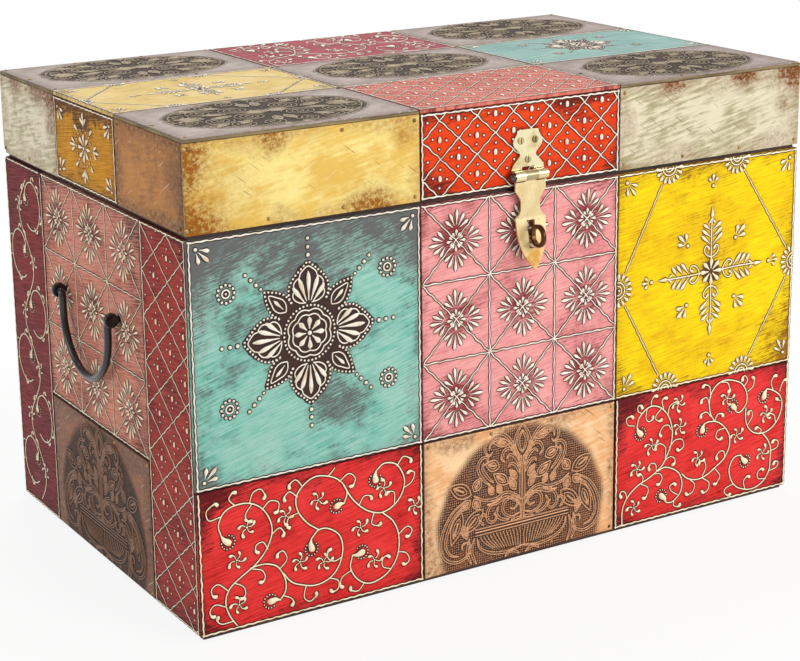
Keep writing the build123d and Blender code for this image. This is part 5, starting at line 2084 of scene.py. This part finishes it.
def facings() -> list[Facing]:
    """Lists the tiles of the front, the ends and the top.

    Returns:
        The facings.
    """
    paint, metal = paints(), metals()
    but_left, but_top = ([side for side in Side if side is not bare] for bare in (Side.LEFT, Side.TOP))
    white = PastePaint("white_paste")
    on_pink = PastePaint("white_paste_on_pink", wax_and_shade_foot="#4a1213")
    on_yellow = PastePaint("white_paste_on_yellow", "#fbf0cf", "#ecd89c", "#5c2f06")
    on_orange = PastePaint("white_paste_on_orange", wax_and_shade_foot="#380a06")
    cream = PastePaint("cream_paste", "#fff1cb", "#ecd09a", "#2c070b")
    dull = PastePaint("aged_paste", "#ffeed0", "#eccfa6", "#40241a")

    def lattice(cell: Pair) -> Callable[[float, float], Drawing]:
        """Draws the lattice with lozenges of one size."""
        return partial(lattice_tile, cell=cell)

    front = Facing("body_front", Face.FRONT, "chest", [
        PaintedTile("front_turquoise_panel", "turquoise_paint", paint["turquoise"], mandala_tile),
        PaintedTile("front_pink_panel", "pink_paint", paint["pink"], grid_flower_tile, but_left, on_pink),
        PaintedTile("front_yellow_panel", "yellow_paint", paint["yellow"], cross_flower_tile, but_left,
                    on_yellow),
        PaintedTile("front_left_red_panel", "red_paint", paint["red"],
                    LEFT_VINE.tile, but_top, cream),
        PaintedTile("front_right_red_panel", "red_paint", paint["red"],
                    RIGHT_VINE.tile, but_top, cream),
    ], [MetalSheet("front_copper_sheet", "copper_sheet", metal["copper"], vase_of_flowers)], white)
    lid_front = Facing("lid_front", Face.FRONT, "lid", [
        PaintedTile("lid_front_lattice_panel", "orange_red_paint", paint["orange_red"], lattice((36, 32)),
                    paste=on_orange),
    ], [MetalSheet("lid_front_brass_sheet", "brass_sheet", metal["brass"]),
        MetalSheet("lid_front_white_metal_sheet", "white_metal_sheet", metal["white_metal"])], white)
    ends = []
    for side, face in (("left", Face.LEFT), ("right", Face.RIGHT)):
        ends.append(Facing(f"body_{side}", face, "chest", [
            PaintedTile(f"{side}_lattice_panel", "red_paint", paint["end_red"], lattice((50, 38))),
            PaintedTile(f"{side}_flower_panel", "rose_paint", paint["end_rose"], grid_flower_tile,
                        (Side.TOP, Side.BOTTOM)),
            PaintedTile(f"{side}_vine_panel", "dark_red_paint", paint["vine_red"], vine_column, worn=5.5),
        ], [MetalSheet(f"{side}_copper_sheet", "copper_sheet", metal["end_copper"], vase_of_flowers)],
            dull, 0.78))
        ends.append(Facing(f"lid_{side}", face, "lid", [
            PaintedTile(f"lid_{side}_ochre_panel", "ochre_paint", paint["ochre"], small_mandala_tile),
        ], [MetalSheet(f"lid_{side}_brass_sheet", "brass_sheet", metal["end_brass"]),
            MetalSheet(f"lid_{side}_white_metal_sheet", "white_metal_sheet", metal["white_metal"])], dull, 0.85))
    top_sheets = [MetalSheet(f"lid_top_{part}_sheet", "white_metal_sheet", metal["lid_metal"], scrolled_oval)
                  for part in ("front_left", "front_right", "centre", "back_left", "back_right")]
    top = Facing("lid_top", Face.TOP, "lid", [
        PaintedTile("lid_top_coral_panel", "coral_paint", paint["coral"], lattice((36, 32))),
        PaintedTile("lid_top_pale_yellow_panel", "pale_yellow_paint", paint["pale_yellow"], cross_flower_tile),
        PaintedTile("lid_top_pale_turquoise_panel", "pale_turquoise_paint", paint["pale_turquoise"],
                    mandala_tile),
        PaintedTile("lid_top_rose_panel", "rose_paint", paint["rose"], RIGHT_VINE.tile),
    ], top_sheets, white, 0.72)
    return [front, lid_front, *ends, top]


def fittings() -> Fittings:
    """Chooses finishes for the boards and the metal fittings.

    Returns:
        The fittings.
    """
    carcass = CarcassWood("stained_mango_wood", "#2c1d19", "#4a322a")
    backing = CarcassWood("backing_board", "#3a2a20", "#57402f")
    gilt = CarcassWood("gilt_backing_edge", "#8f7c50", "#5f4a2c")
    brass = Fitting("polished_hasp_brass", "#f3e6bb", "#dcc58c", 0.85, 0.2, shade_and_dirt_strength=0.35, coat=0.2)
    strap = Fitting("worn_hasp_brass", "#ecd8a4", "#d49c48", 0.6, 0.3, shade_and_dirt_strength=0.15, coat=0.2, fade=(0.306, 0.258),
                    dull_above=0.3364)
    iron = Fitting("blackened_iron", "#0b0908", "#151110", 0.0, 0.24, coat=0.3)
    pin = Fitting("browned_steel_pin", "#6c625c", "#2e2624", 0.9, 0.2, shade_and_dirt_strength=1.0, crevice=0.0012)
    steel = Fitting("zinc_plated_steel", "#8f8b86", "#6f6860", 0.9, 0.36)
    tacks = Fitting("tack_brass", "#b08a50", "#5d4026", 0.8, 0.38, shade_and_dirt_strength=1.0)
    screws = Fitting("worn_screw_brass", "#cdbd8a", "#94805a", 0.85, 0.26, shade_and_dirt_strength=1.0, crevice=0.0009)
    dark_brass = Fitting("aged_brass", "#6f4a26", "#3a2312", 0.8, 0.3, shade_and_dirt_strength=0.6, crevice=0.0012)
    boards = {name: carcass for name in (
        "front_board", "back_board", "left_board", "right_board", "bottom_board", "lid_top_board",
        "lid_front_rail", "lid_back_rail", "lid_left_rail", "lid_right_rail")}
    return Fittings({
        **boards, "body_sheet_backings": backing, "lid_sheet_backings": gilt,
        "hasp_plate": brass, "hasp_strap": strap, "hasp_screws": screws, "hasp_pin": pin,
        "staple_eye": dark_brass,
        "handle_": iron, "hinge_": steel, "body_sheet_tacks": tacks, "lid_sheet_tacks": tacks,
    })


def main() -> None:
    """Builds the chest's looks in order round the frame."""
    logging.basicConfig(level=logging.INFO, format="%(name)s %(message)s")
    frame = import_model()
    nodes = frame["nodes"]
    fittings().dress(nodes)
    for facing in facings():
        facing.build(nodes)
    Studio().build()


if __name__ == "__main__":
    main()
